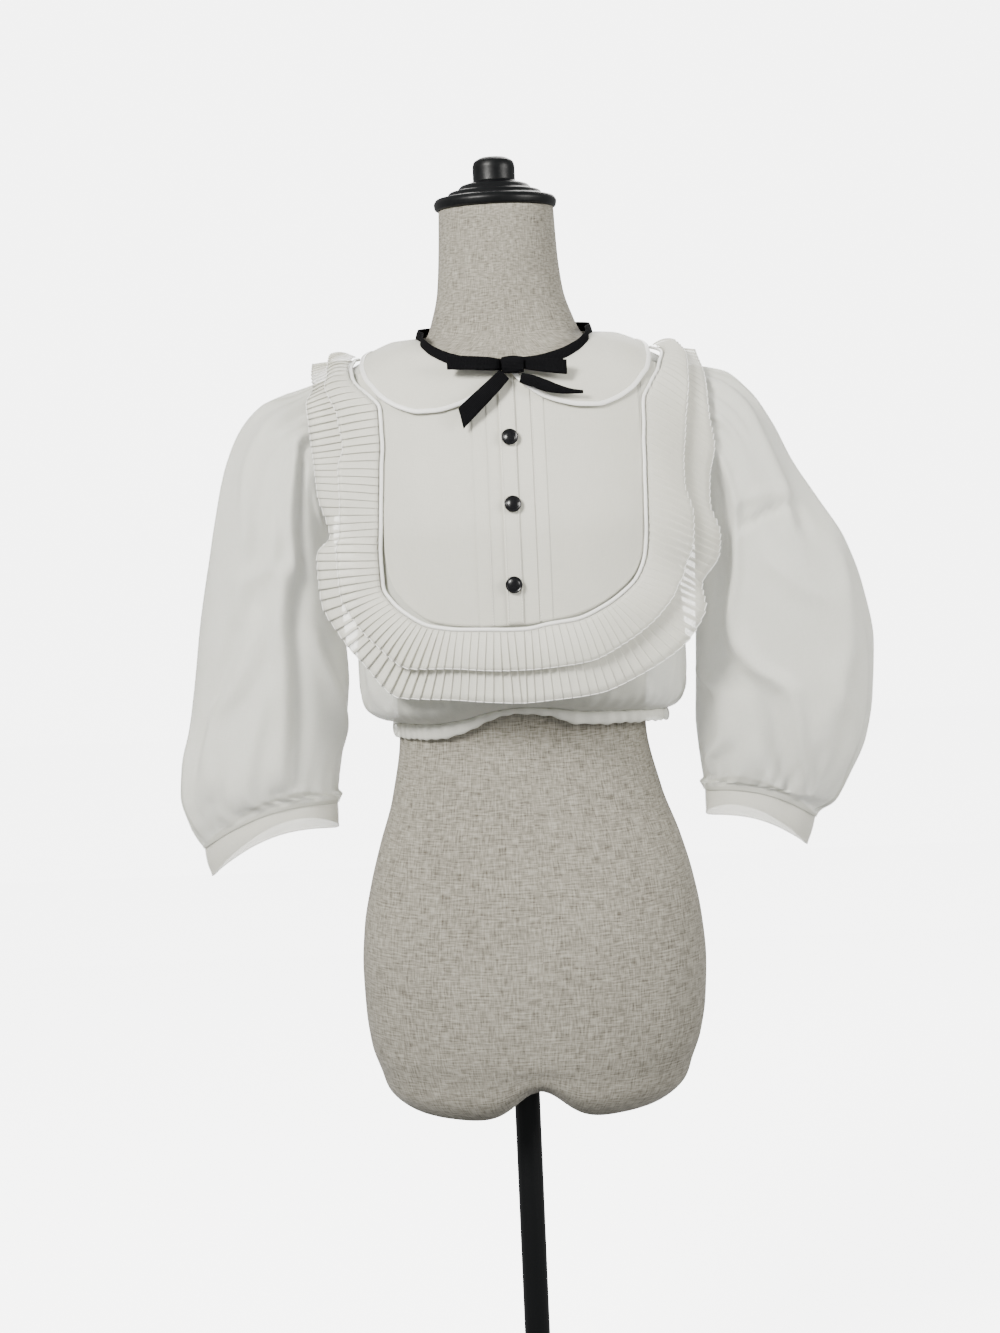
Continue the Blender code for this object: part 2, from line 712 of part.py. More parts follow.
bib_inner = []
for r in range(BIB_ROWS):
    line = []
    for x in bib_columns:
        bottom = smooth(BIB_X, BIB_Z, x)
        z = bottom + (bib_top(x) - bottom) * r / (BIB_ROWS - 1)
        lift = BIB_SHOULDER_LIFT * min(max((z - 1060.0) / 30.0, 0.0), 1.0) * min(abs(x) / 50.0, 1.0)
        line.append(front_point(x, z, BIB_OFFSET + lift))
    bib_inner.append(line)


def bib_thickness(r, c):
    on_fold = any(abs(bib_columns[c] - x) < 0.01 for x in PINTUCK_X)
    return CLOTH + (PINTUCK_HIGH if on_fold else 0.0)


bib = wall("bib", organza, bib_inner, moved(bib_inner, bib_thickness))

placket_inner = []
for r in range(BIB_ROWS):
    line = []
    for x in (PLACKET_X[0], (PLACKET_X[0] + PLACKET_X[1]) / 2, PLACKET_X[1]):
        z = 878.0 + (1098.0 - 878.0) * r / (BIB_ROWS - 1.0)
        line.append(front_point(x, z, BIB_OFFSET + CLOTH + 0.8))
    placket_inner.append(line)
placket = wall("placket", organza, placket_inner, moved(placket_inner, CLOTH))

# Three buttons on the placket.
for number, (x, z) in enumerate(BUTTONS):
    button = turned_piece("button_%d" % (number + 1), button_black, BUTTON_PROFILE, 14)
    seat = front_point(x, z, BIB_OFFSET + 2 * CLOTH + 1.2)
    lean = front_point(x, z, 10.0) - front_point(x, z, 0.0)
    button.rotation_euler = lean.to_track_quat("Z", "Y").to_euler()
    button.location = (seat + Vector((BODY_X, 0, 0))) * MM


# The collar's two halves, each from the centre front round to the centre back.
def collar_half(name, side):
    grid = []
    for across in COLLAR_ACROSS:
        line = []
        for neck_angle, edge_angle, edge_z in COLLAR:
            start = neck_height(neck_angle) - 0.5
            angle = neck_angle + (edge_angle - neck_angle) * across
            z = start + (edge_z - start) * across
            bend = 4.0 * across * (1 - across) * 1.2
            line.append(body_point(side * angle, z, COLLAR_OFFSET + bend))
        grid.append(line)
    flip = -side
    thick = moved(grid, lambda r, c: COLLAR_THICK[r] * flip)
    return wall(name, organza, grid, thick)


collar_left = collar_half("collar_left", -1)
collar_right = collar_half("collar_right", 1)

# The black binding round the neck, standing on the collar's inner edge.
binding_angles = [row[0] for row in COLLAR] + [360.0 - row[0] for row in reversed(COLLAR)]
binding_inner = []
for rise, out in ((-2.5, COLLAR_OFFSET + 3.0), (9.0, COLLAR_OFFSET - 0.2)):
    binding_inner.append([body_point(a, neck_height(a) + rise, out) for a in binding_angles])
neck_binding = wall("neck_binding", ribbon_black, binding_inner, moved(binding_inner, 1.4, True), True)


# The two pleated ruffles, in one seam round the bib, and the piping that covers the seam.
def ruffle_station(place):
    seam = body_point(at_row(RUFFLES, RUFFLE_COLUMNS, "seam_angle", place),
                      at_row(RUFFLES, RUFFLE_COLUMNS, "seam_z", place), RUFFLE_OUT)
    edge = Vector([at_row(RUFFLES, RUFFLE_COLUMNS, "edge_" + k, place) for k in "xyz"])
    return seam, edge, at_row(RUFFLES, RUFFLE_COLUMNS, "share", place)


def ruffle_frame(place):
    seam, edge, share = ruffle_station(place)
    ahead = ruffle_station(min(place + 0.25, len(RUFFLES) - 1.0))
    behind = ruffle_station(max(place - 0.25, 0.0))
    along = (ahead[0] + ahead[1] - behind[0] - behind[1]).normalized()
    outward = (edge - seam).normalized()
    normal = outward.cross(along).normalized()
    if normal.y * 1.0 + normal.z * -0.6 > 0:
        normal = -normal
    return seam, edge, share, outward, normal


def ruffle(name, upper):
    places = []
    length = 0.0
    marks = [(0.0, 0.0)]
    last = None
    for i in range(0, (len(RUFFLES) - 1) * 8 + 1):
        seam, edge, share = ruffle_station(i / 8.0)
        middle = seam * 0.6 + edge * 0.4
        if last is not None:
            length += (middle - last).length
            marks.append((length, i / 8.0))
        last = middle
    for i in range(2 * PLEATS + 1):
        pleat = i // 2
        part = 0.0 if i % 2 == 0 else 0.68
        want = (pleat + part) / PLEATS * length
        places.append(smooth([m[0] for m in marks], [m[1] for m in marks], want))
    inner_row, middle_row, edge_row = [], [], []
    for i, place in enumerate(places):
        seam, edge, share, outward, normal = ruffle_frame(place)
        fold = 1.0 if i % 2 else -1.0
        start = seam + outward * RUFFLE_SEAM_STEP
        if upper:
            start = start + normal * 0.8
            end = start + (edge - seam) * share + normal * RUFFLE_LIFT
            bow = 2.0
        else:
            start = start - normal * 2.2
            end = edge + outward * 0.0
            bow = -0.6
        middle = start.lerp(end, 0.5) + normal * bow
        inner_row.append(start + normal * (fold * PLEAT_AT_SEAM))
        middle_row.append(middle + normal * (fold * (PLEAT_AT_SEAM + PLEAT_AT_EDGE) / 2))
        edge_row.append(end + normal * (fold * PLEAT_AT_EDGE))
    grid = [inner_row, middle_row, edge_row]
    return wall(name, organza_pleated, grid, moved(grid, -RUFFLE_WALL))


ruffle_lower = ruffle("ruffle_lower", False)
ruffle_upper = ruffle("ruffle_upper", True)

def tube(name, material, points, radius):
    """A round cord along points: a bevelled curve made into a mesh, with its end caps welded."""
    curve = bpy.data.curves.new(name + "_path", "CURVE")
    curve.dimensions = "3D"
    curve.bevel_depth = radius * MM
    curve.bevel_resolution = 1
    curve.use_fill_caps = True
    line = curve.splines.new("POLY")
    line.points.add(len(points) - 1)
    for i, point in enumerate(points):
        line.points[i].co = (*((point + Vector((BODY_X, 0, 0))) * MM), 1.0)
    path = bpy.data.objects.new(name + "_path", curve)
    bpy.context.scene.collection.objects.link(path)
    bpy.context.view_layer.update()
    mesh = bpy.data.meshes.new_from_object(path)
    bpy.data.objects.remove(path)
    edit = bmesh.new()
    edit.from_mesh(mesh)
    bmesh.ops.remove_doubles(edit, verts=edit.verts, dist=1e-6)
    bmesh.ops.recalc_face_normals(edit, faces=edit.faces)
    edit.to_mesh(mesh)
    edit.free()
    mesh.materials.clear()
    mesh.materials.append(material)
    made = bpy.data.objects.new(name, mesh)
    parts.objects.link(made)
    return made


piping_spots = []
for i in range(PIPING_POINTS):
    seam, edge, share, outward, normal = ruffle_frame(i * (len(RUFFLES) - 1.0) / (PIPING_POINTS - 1))
    piping_spots.append(seam - normal * 0.4)
bib_piping = tube("bib_piping", piping_white, piping_spots, 1.5)


# The sleeves, gathered into the armholes and into the cuffs.
def ring_point(table, columns, place, angle):
    """A point of a sleeve or cuff ring; angle 0 is the outer end, 90 the front, 180 the inner end."""
    v = {name: at_row(table, columns, name, place) for name in columns}
    outer = Vector((v["outer_x"], 0, v["outer_z"]))
    inner = Vector((v["inner_x"], 0, v["inner_z"]))
    c = math.cos(math.radians(angle))
    s = math.sin(math.radians(angle))
    spot = (outer + inner) / 2 + (outer - inner) / 2 * c
    spot.y = v["mid_y"] - v["deep"] * s
    spot.z += v["arch"] * s * s
    return spot


def armhole_point(side, angle, spread, out):
    """A point at the armhole's edge, spread onto the bodice and moved out from it."""
    c = math.cos(math.radians(angle))
    s = math.sin(math.radians(angle))
    middle = (ARMHOLE_Z[0] + ARMHOLE_Z[-1]) / 2
    half = (ARMHOLE_Z[-1] - ARMHOLE_Z[0]) / 2
    edge = armhole_angle(middle + half * c) - spread * abs(s)
    z = middle + (half + spread * 1.6) * c
    turn = edge if s >= 0 else 180.0 - edge
    return body_point(side * turn, z, out)


def fold_height(folds, place, angle):
    total = 0.0
    for row in folds:
        f = dict(zip(FOLD_COLUMNS, row))
        if f["ring_to"] == f["ring_from"]:
            continue
        t = (place - f["ring_from"]) / (f["ring_to"] - f["ring_from"])
        ends = min(max((t + 0.25) / 0.5, 0.0), 1.0) * min(max((1.25 - t) / 0.5, 0.0), 1.0)
        if ends <= 0.0:
            continue
        middle = f["angle_from"] + (f["angle_to"] - f["angle_from"]) * min(max(t, 0.0), 1.0)
        away = ((angle - middle + 180.0) % 360.0 - 180.0) / f["wide"]
        total += f["high"] * math.exp(-away * away) * ends
    return total


def sleeve(name, side, table, cuff, folds):
    rings = []
    angles = [i * 360.0 / SLEEVE_POINTS for i in range(SLEEVE_POINTS)]
    rings.append([armhole_point(side, a, 3.0, CLOTH + 1.0) for a in angles])
    rings.append([armhole_point(side, a, 0.5, CLOTH + 2.6) for a in angles])
    for place in range(len(table)):
        ring = []
        for a in angles:
            spot = ring_point(table, SLEEVE_COLUMNS, place, a)
            middle = (ring_point(table, SLEEVE_COLUMNS, place, 0)
                      + ring_point(table, SLEEVE_COLUMNS, place, 180)) / 2
            middle.y = spot.y * 0.0 + at_row(table, SLEEVE_COLUMNS, "mid_y", place)
            away = (spot - middle).normalized()
            high = fold_height(folds, float(place), a)
            head = max(0.0, 1.0 - place / 2.5) * max(0.0, math.cos(math.radians(a * 0.75)))
            high += HEAD_GATHER_DEEP * head * math.cos(math.radians(a * HEAD_GATHERS * 1.5))
            foot = max(0.0, (place - len(table) + 3.0) / 2.0)
            high += CUFF_GATHER_DEEP * foot * math.cos(math.radians(a * CUFF_GATHERS))
            ring.append(spot + away * high)
        rings.append(ring)
    for rise, out in ((4.0, 5.0), (-3.0, CUFF_WALL + 0.45)):
        ring = []
        for a in angles:
            spot = ring_point(cuff, CUFF_COLUMNS, 0, a)
            below = ring_point(cuff, CUFF_COLUMNS, 1, a)
            middle = (ring_point(cuff, CUFF_COLUMNS, 0, 0) + ring_point(cuff, CUFF_COLUMNS, 0, 180)) / 2
            middle.y = at_row(cuff, CUFF_COLUMNS, "mid_y", 0)
            level = spot - middle
            level.z = 0
            ring.append(spot + (spot - below).normalized() * rise + level.normalized() * out)
        rings.append(ring)
    return wall(name, organza, rings, moved(rings, side * CLOTH, True), True)


sleeve_left = sleeve("sleeve_left", -1, SLEEVE_LEFT, CUFF_LEFT, FOLDS_LEFT)
sleeve_right = sleeve("sleeve_right", 1, SLEEVE_RIGHT, CUFF_RIGHT, FOLDS_RIGHT)


def cuff_band(name, side, table):
    rings = []
    for place in range(len(table)):
        rings.append([ring_point(table, CUFF_COLUMNS, place, i * 360.0 / SLEEVE_POINTS)
                      for i in range(SLEEVE_POINTS)])
    return wall(name, organza, rings, moved(rings, side * CUFF_WALL, True), True)


cuff_left = cuff_band("cuff_left", -1, CUFF_LEFT)
cuff_right = cuff_band("cuff_right", 1, CUFF_RIGHT)


# The bow: two loops, a knot and two tails of flat ribbon.
def ribbon(name, table, spread):
    """A flat ribbon along its table's middle line, its width laid across in the XZ plane."""
    middles = [Vector(row[:3]) for row in table]
    low_edge, high_edge = [], []
    for i, row in enumerate(table):
        along = middles[min(i + 1, len(table) - 1)] - middles[max(i - 1, 0)]
        across = Vector((0, 0, 1)) if spread == "upright" else Vector((-along.z, 0, along.x)).normalized()
        low_edge.append(middles[i] - across * row[3] / 2)
        high_edge.append(middles[i] + across * row[3] / 2)
    grid = [low_edge, high_edge]
    return wall(name, ribbon_black, grid, moved(grid, RIBBON_THICK))


bow_loop_left = ribbon("bow_loop_left", LOOP_LEFT, "upright")
bow_loop_right = ribbon("bow_loop_right", LOOP_RIGHT, "upright")
bow_tail_left = ribbon("bow_tail_left", TAIL_LEFT, "flat")
bow_tail_right = ribbon("bow_tail_right", TAIL_RIGHT, "flat")

bpy.ops.mesh.primitive_cube_add(size=1.0, location=((6.0 + BODY_X) * MM, -0.0993, 1.1115))
bow_knot = bpy.context.object
bow_knot.name = "bow_knot"
bow_knot.scale = (0.020, 0.011, 0.015)
bpy.ops.object.transform_apply(location=False, rotation=False, scale=True)
knot_edge = bow_knot.modifiers.new("soft_edge", "BEVEL")
knot_edge.width = 0.003
knot_edge.segments = 2
bow_knot.data.materials.append(ribbon_black)
for group in list(bow_knot.users_collection):
    group.objects.unlink(bow_knot)
parts.objects.link(bow_knot)
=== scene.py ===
"""A cropped puff sleeve blouse in sheer white cloth, worn by a linen dress form on a pole and base.

Tables and sizes are millimetres; meshes are made in metres. +Z is up and the blouse's front faces -Y.
An angle round the body is 0 at the centre front, 90 at the +X side and 180 at the centre back.
"""
import math
from bisect import bisect_right
from functools import lru_cache

import bmesh
import bpy
from mathutils import Matrix, Vector


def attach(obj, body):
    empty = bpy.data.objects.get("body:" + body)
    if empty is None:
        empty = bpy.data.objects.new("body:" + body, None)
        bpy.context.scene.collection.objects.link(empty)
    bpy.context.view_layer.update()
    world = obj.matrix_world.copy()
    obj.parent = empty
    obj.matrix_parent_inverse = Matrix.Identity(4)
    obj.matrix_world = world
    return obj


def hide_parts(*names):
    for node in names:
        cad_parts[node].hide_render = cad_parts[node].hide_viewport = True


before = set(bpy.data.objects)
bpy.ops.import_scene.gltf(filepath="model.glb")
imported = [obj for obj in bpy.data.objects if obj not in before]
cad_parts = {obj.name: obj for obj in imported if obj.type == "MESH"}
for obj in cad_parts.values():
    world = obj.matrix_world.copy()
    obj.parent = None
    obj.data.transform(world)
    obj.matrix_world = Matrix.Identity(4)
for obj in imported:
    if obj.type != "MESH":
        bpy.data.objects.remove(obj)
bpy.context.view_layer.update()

# The studio. A camera at chest height, tipped and rolled a little as the photograph's was, looks at
# the form on a pale paper sweep, which glows so that it stays plain white and leaves no shadow or
# reflection on the form. Two large soft lamps stand in front and one behind, and the room is pale.
LENS_PITCH = math.radians(5.0)
LENS_ROLL = math.radians(2.5)
LENS_PLACE = Vector((-0.0084, -2.2, 1.020))
forward = Vector((0, math.cos(LENS_PITCH), -math.sin(LENS_PITCH)))
level_up = Vector((1, 0, 0)).cross(forward)
lens_right = math.cos(LENS_ROLL) * Vector((1, 0, 0)) - math.sin(LENS_ROLL) * level_up
lens_up = math.sin(LENS_ROLL) * Vector((1, 0, 0)) + math.cos(LENS_ROLL) * level_up
camera = bpy.data.objects.new("camera", bpy.data.cameras.new("camera"))
bpy.context.scene.collection.objects.link(camera)
camera.data.sensor_width = 36.0
camera.data.lens = 61.8
camera.rotation_euler = Matrix((lens_right, lens_up, -forward)).transposed().to_euler()
camera.location = LENS_PLACE
bpy.context.scene.camera = camera

SWEEP = ((-6.0, 0.0), (2.6, 0.0), (3.2, 0.08), (3.7, 0.35), (4.0, 0.85), (4.1, 1.6), (4.1, 6.0))
paper_points = [(x, y, z - 0.0005) for y, z in SWEEP for x in (-6.0, 6.0)]
paper_faces = [(2 * i, 2 * i + 1, 2 * i + 3, 2 * i + 2) for i in range(len(SWEEP) - 1)]
paper_mesh = bpy.data.meshes.new("paper_sweep")
paper_mesh.from_pydata(paper_points, [], paper_faces)
paper_sweep = bpy.data.objects.new("paper_sweep", paper_mesh)
bpy.context.scene.collection.objects.link(paper_sweep)
paper = bpy.data.materials.new("paper")
paper.use_nodes = True
paper_sockets = paper.node_tree.nodes["Principled BSDF"].inputs
paper_sockets["Base Color"].default_value = (0.93, 0.93, 0.925, 1)
paper_sockets["Roughness"].default_value = 0.9
paper_sockets["Specular IOR Level"].default_value = 0.1
paper_sockets["Emission Color"].default_value = (1, 1, 1, 1)
paper_sockets["Emission Strength"].default_value = 5.0
paper_mesh.materials.append(paper)
paper_sweep.visible_diffuse = False
paper_sweep.visible_glossy = False
paper_sweep.visible_shadow = False

room = bpy.data.worlds.new("room")
bpy.context.scene.world = room
room.use_nodes = True
room_light = room.node_tree.nodes["Background"].inputs
room_light["Color"].default_value = (0.98, 0.99, 1.0, 1.0)
room_light["Strength"].default_value = 0.45


CHEST = Vector((0, 0, 0.95))
LAMP_COLOUR = (1.0, 0.985, 0.95)


def soft_lamp(name, place, size, watts):
    lamp = bpy.data.lights.new(name, "AREA")
    lamp.shape = "DISK"
    lamp.size = size
    lamp.energy = watts
    lamp.color = LAMP_COLOUR
    stand = bpy.data.objects.new(name, lamp)
    bpy.context.scene.collection.objects.link(stand)
    stand.location = place
    stand.rotation_euler = (CHEST - Vector(place)).to_track_quat("-Z", "Y").to_euler()


soft_lamp("lamp_left", (-1.7, -2.2, 2.5), 1.1, 210)
soft_lamp("lamp_right", (2.5, -1.5, 1.7), 1.4, 90)
soft_lamp("lamp_back", (0.4, 2.2, 2.6), 1.5, 50)

# The round base and the pole. A cast iron plate with a short socket in its middle holds a steel
# tube, both in black satin paint; the plate stands flat on the floor, and the tube enters the form.
BODY_X = 9.0


def smooth(xs, ys, x):
    """The value at x on a smooth curve through the points, which never goes past them."""
    if x <= xs[0]:
        return ys[0]
    if x >= xs[-1]:
        return ys[-1]
    last = len(xs) - 1
    i = bisect_right(xs, x) - 1

    def slope(k):
        if k == 0:
            return (ys[1] - ys[0]) / (xs[1] - xs[0])
        if k == last:
            return (ys[last] - ys[last - 1]) / (xs[last] - xs[last - 1])
        before = (ys[k] - ys[k - 1]) / (xs[k] - xs[k - 1])
        after = (ys[k + 1] - ys[k]) / (xs[k + 1] - xs[k])
        if before * after <= 0:
            return 0.0
        return 2 * before * after / (before + after)

    span = xs[i + 1] - xs[i]
    t = (x - xs[i]) / span
    start = (1 + 2 * t) * (1 - t) ** 2 * ys[i] + t * (1 - t) ** 2 * slope(i) * span
    end = t * t * (3 - 2 * t) * ys[i + 1] + t * t * (t - 1) * slope(i + 1) * span
    return start + end


def cloth_grid(name, grid, core, closed=False):
    """A smooth sheet through a grid of points, its faces turned away from the core point of each
    row, with a UV map in metres along and across the cloth."""
    rows, cols = len(grid), len(grid[0])
    spans = cols if closed else cols - 1
    mesh = bpy.data.meshes.new(name)
    points = [(p + Vector((BODY_X, 0, 0))) * 0.001 for row in grid for p in row]
    middle = grid[rows // 2]
    along = [0.0]
    for c in range(spans):
        along.append(along[-1] + (middle[(c + 1) % cols] - middle[c]).length * 0.001)
    down = [0.0]
    for r in range(rows - 1):
        step = sum((grid[r + 1][c] - grid[r][c]).length for c in range(0, cols, 7))
        down.append(down[-1] + step / len(range(0, cols, 7)) * 0.001)
    faces, marks = [], []
    lean = 0.0
    for r in range(rows - 1):
        for c in range(spans):
            n = (c + 1) % cols
            faces.append((r * cols + c, r * cols + n, (r + 1) * cols + n, (r + 1) * cols + c))
            marks.append(((along[c], down[r]), (along[c + 1], down[r]),
                          (along[c + 1], down[r + 1]), (along[c], down[r + 1])))
            if (r + c) % 5 == 0:
                across = grid[r][n] - grid[r][c]
                rise = grid[r + 1][c] - grid[r][c]
                lean += across.cross(rise).dot(grid[r][c] - core[r])
    if lean < 0:
        faces = [face[::-1] for face in faces]
        marks = [mark[::-1] for mark in marks]
    mesh.from_pydata(points, [], faces)
    chart = mesh.uv_layers.new(name="cloth")
    chart.data.foreach_set("uv", [k for mark in marks for spot in mark for k in spot])
    mesh.polygons.foreach_set("use_smooth", [True] * len(faces))
    made = bpy.data.objects.new(name, mesh)
    bpy.context.scene.collection.objects.link(made)
    return made


def turned(name, profile, steps=96, middle=(0.0, 0.0), bend=2.0):
    """A profile of radius and height turned round an upright axis, its corners softened."""
    soft = [profile[0]]
    for i in range(1, len(profile) - 1):
        here, before, after = Vector(profile[i]), Vector(profile[i - 1]), Vector(profile[i + 1])
        cut = min(bend, (here - before).length * 0.45, (here - after).length * 0.45)
        first = here + (before - here).normalized() * cut
        last = here + (after - here).normalized() * cut
        for k in range(4):
            t = k / 3.0
            soft.append(tuple((first.lerp(here, t)).lerp(here.lerp(last, t), t)))
    soft.append(profile[-1])
    edit = bmesh.new()
    rings = []
    for radius, height in soft:
        ring = []
        for k in range(steps if radius > 0 else 1):
            turn = math.tau * k / steps
            x = middle[0] + radius * math.cos(turn)
            y = middle[1] + radius * math.sin(turn)
            ring.append(edit.verts.new((x * 0.001, y * 0.001, height * 0.001)))
        rings.append(ring)
    for above, below in zip(rings, rings[1:]):
        for k in range(steps):
            n = (k + 1) % steps
            face = [above[k % len(above)], below[k % len(below)]]
            if len(below) > 1:
                face.append(below[n])
            if len(above) > 1:
                face.append(above[n])
            if len(face) > 2:
                edit.faces.new(face)
    bmesh.ops.recalc_face_normals(edit, faces=edit.faces)
    mesh = bpy.data.meshes.new(name)
    edit.to_mesh(mesh)
    edit.free()
    mesh.polygons.foreach_set("use_smooth", [True] * len(mesh.polygons))
    made = bpy.data.objects.new(name, mesh)
    bpy.context.scene.collection.objects.link(made)
    return made


class Amount:
    """One number that changes over a surface, worked on with Python's own signs."""

    def __init__(self, tree, socket):
        self.tree = tree
        self.socket = socket

    def _join(self, operation, first, second=None):
        node = self.tree.nodes.new("ShaderNodeMath")
        node.operation = operation
        for i, term in enumerate((first, second)):
            if isinstance(term, Amount):
                self.tree.links.new(term.socket, node.inputs[i])
            elif term is not None:
                node.inputs[i].default_value = term
        return Amount(self.tree, node.outputs[0])

    def __add__(self, other):
        return self._join("ADD", self, other)

    def __radd__(self, other):
        return self._join("ADD", other, self)

    def __sub__(self, other):
        return self._join("SUBTRACT", self, other)

    def __rsub__(self, other):
        return self._join("SUBTRACT", other, self)

    def __mul__(self, other):
        return self._join("MULTIPLY", self, other)

    def __rmul__(self, other):
        return self._join("MULTIPLY", other, self)

    def wave(self):
        return self._join("SINE", self)


class Finish:
    """A material under way: its Principled shader, and one method that makes any other node."""

    def __init__(self, name, roughness, **fixed):
        self.material = bpy.data.materials.new(name)
        self.material.use_nodes = True
        self.tree = self.material.node_tree
        self.shader = self.tree.nodes["Principled BSDF"]
        self.shader.inputs["Roughness"].default_value = roughness
        for socket, amount in fixed.items():
            self.shader.inputs[socket.replace("_", " ")].default_value = amount

    def node(self, kind, settings, sockets, out=0):
        made = self.tree.nodes.new(kind)
        for key, setting in settings.items():
            if key == "stops":
                stops = made.color_ramp.elements
                while len(stops) < len(setting):
                    stops.new(0.5)
                for stop, (place, colour) in zip(stops, setting):
                    stop.position = place
                    stop.color = colour
            else:
                setattr(made, key, setting)
        for key, given in sockets.items():
            if isinstance(given, Amount):
                self.tree.links.new(given.socket, made.inputs[key])
            else:
                made.inputs[key].default_value = given
        return Amount(self.tree, made.outputs[out])

    def set(self, socket, given):
        self.tree.links.new(given.socket, self.shader.inputs[socket])

    def chart(self):
        """The cloth's own map, in metres."""
        return self.node("ShaderNodeUVMap", {"uv_map": "cloth"}, {})

    def speckle(self, place, stretch, scale, detail=2.0):
        """Noise on a place that is stretched first, for threads and clouds."""
        laid = self.node("ShaderNodeMapping", {}, {"Vector": place, "Scale": stretch})
        return self.node("ShaderNodeTexNoise", {}, {"Vector": laid, "Scale": scale, "Detail": detail})

    def colour(self, dark, pale, amount):
        """A base colour between two."""
        made = self.node("ShaderNodeMix", {"data_type": "RGBA"},
                         {0: amount, 6: (*dark, 1.0), 7: (*pale, 1.0)}, 2)
        self.set("Base Color", made)

    def relief(self, height, deep):
        made = self.node("ShaderNodeBump", {}, {"Height": height, "Distance": deep, "Strength": 1.0})
        self.set("Normal", made)


def black_paint(name, roughness, mottle):
    paint = Finish(name, roughness, Specular_IOR_Level=0.22)
    place = paint.node("ShaderNodeTexCoord", {}, {}, 3)
    grain = paint.speckle(place, (1, 1, 1), mottle, 3.0)
    paint.colour((0.0014, 0.0016, 0.0018), (0.0034, 0.0038, 0.0042), grain)
    paint.set("Roughness", grain * 0.18 + (roughness - 0.09))
    paint.relief(grain, 0.00012)
    return paint.material


BASE_PROFILE = ((12.8, 46), (21, 46), (22, 24), (30, 17), (150, 12), (162, 9), (165, 4), (164.6, 0),
                (0, 0))
stand_base = turned("base_plate", BASE_PROFILE, 160)
stand_base.data.materials.append(black_paint("iron_paint", 0.5, 320.0))
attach(stand_base, "root")
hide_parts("stand_base")

POLE_PROFILE = ((0, 478), (12.5, 478), (12.5, 300), (12.5, 8.6), (0, 8.4))
stand_pole = turned("pole_tube", POLE_PROFILE, 64, bend=0.6)
stand_pole.data.materials.append(black_paint("pole_paint", 0.42, 900.0))
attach(stand_pole, "root")
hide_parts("stand_pole")

# The form's torso. A padded shell covered with natural slubbed linen, stretched tight over it in
# panels that meet in fine seams at the centre front, over the bust, at the sides and under the neck.
BODY_COLUMNS = ("z", "left", "right", "front", "back", "square")
FORM = (
    (440, 150, 154, 100, 100, 2.3),
    (465, 158, 163, 106, 108, 2.3),
    (500, 162, 169, 110, 116, 2.3),
    (540, 163, 171, 112, 120, 2.3),
    (580, 160, 168, 111, 118, 2.3),
    (620, 152, 161, 107, 111, 2.3),
    (660, 141, 150, 101, 100, 2.3),
    (705, 127, 134, 93, 87, 2.3),
    (770, 117, 121, 87, 77, 2.3),
    (810, 119, 123, 91, 80, 2.3),
    (860, 128, 131, 100, 88, 2.3),
    (905, 137, 140, 111, 98, 2.3),
    (950, 144, 147, 116, 104, 2.3),
    (1000, 150, 153, 112, 105, 2.3),
    (1045, 164, 166, 102, 101, 2.3),
    (1080, 173, 174, 90, 91, 2.3),
    (1096.4, 168, 169, 83, 84, 2.2),
    (1108.4, 152, 152, 77, 77, 2.2),
    (1120.4, 131, 131, 72, 71, 2.1),
    (1131.4, 103, 103, 67, 65, 2.0),
    (1142.4, 75, 75, 62, 58, 2.0),
    (1160, 68, 66, 59, 55, 2.0),
    (1185, 62, 58, 57, 53, 2.0),
    (1220, 59, 54, 55, 50, 2.0),
    (1262, 57, 52, 54, 50, 2.0),
)
FORM_FOOT = ((395, 0.0), (395, 0.34), (396, 0.58), (401, 0.77), (411, 0.89), (424, 0.965), (440, 1.0))
BUST_OUT = 17.0
BUST_X = 70.0
BUST_Z = 950.0
BUST_WIDE = 42.0
BUST_TALL = 48.0
NOTCH_HIGH = 31.0
NOTCH_WIDE = 30.0
NOTCH_FADE = 60.0
# The seams that run down the form: name, heights, and the angle at each height.
FORM_SEAMS = (
    ("centre_front", (440, 600, 775, 1000, 1120), (1.0, 2.5, 1.6, 0.5, 0.5)),
    ("bust_left", (440, 600, 735, 860, 950, 1120), (-41, -40, -45, -41, -35, -50)),
    ("bust_right", (440, 556, 745, 860, 950, 1120), (43, 42, 48, 42, 36, 50)),
    ("side_left", (440, 1100), (-92, -90)),
    ("side_right", (440, 1100), (92, 90)),
    ("back_left", (440, 700, 1000, 1120), (-139, -142, -146, -150)),
    ("back_right", (440, 700, 1000, 1120), (139, 142, 146, 150)),
    ("centre_back", (440, 1262), (180, 180)),
)
SEAM_DEEP = 0.55
SEAM_WIDE = 1.3
FORM_TURNS = 180


sections = {"form": FORM}


@lru_cache(maxsize=None)
def section_at(kind, z):
    table = sections[kind]
    heights = [row[0] for row in table]
    return {name: smooth(heights, [row[i] for row in table], z) for i, name in enumerate(BODY_COLUMNS)}


def round_section(size, angle):
    """x and y on a rounded section at an angle from the centre front."""
    s = math.sin(math.radians(angle))
    c = math.cos(math.radians(angle))
    power = 2.0 / size["square"]
    half = size["right"] if s > 0 else size["left"]
    deep = size["front"] if c > 0 else size["back"]
    x = math.copysign(half * abs(s) ** power, s)
    y = -math.copysign(deep * abs(c) ** power, c)
    return x, y


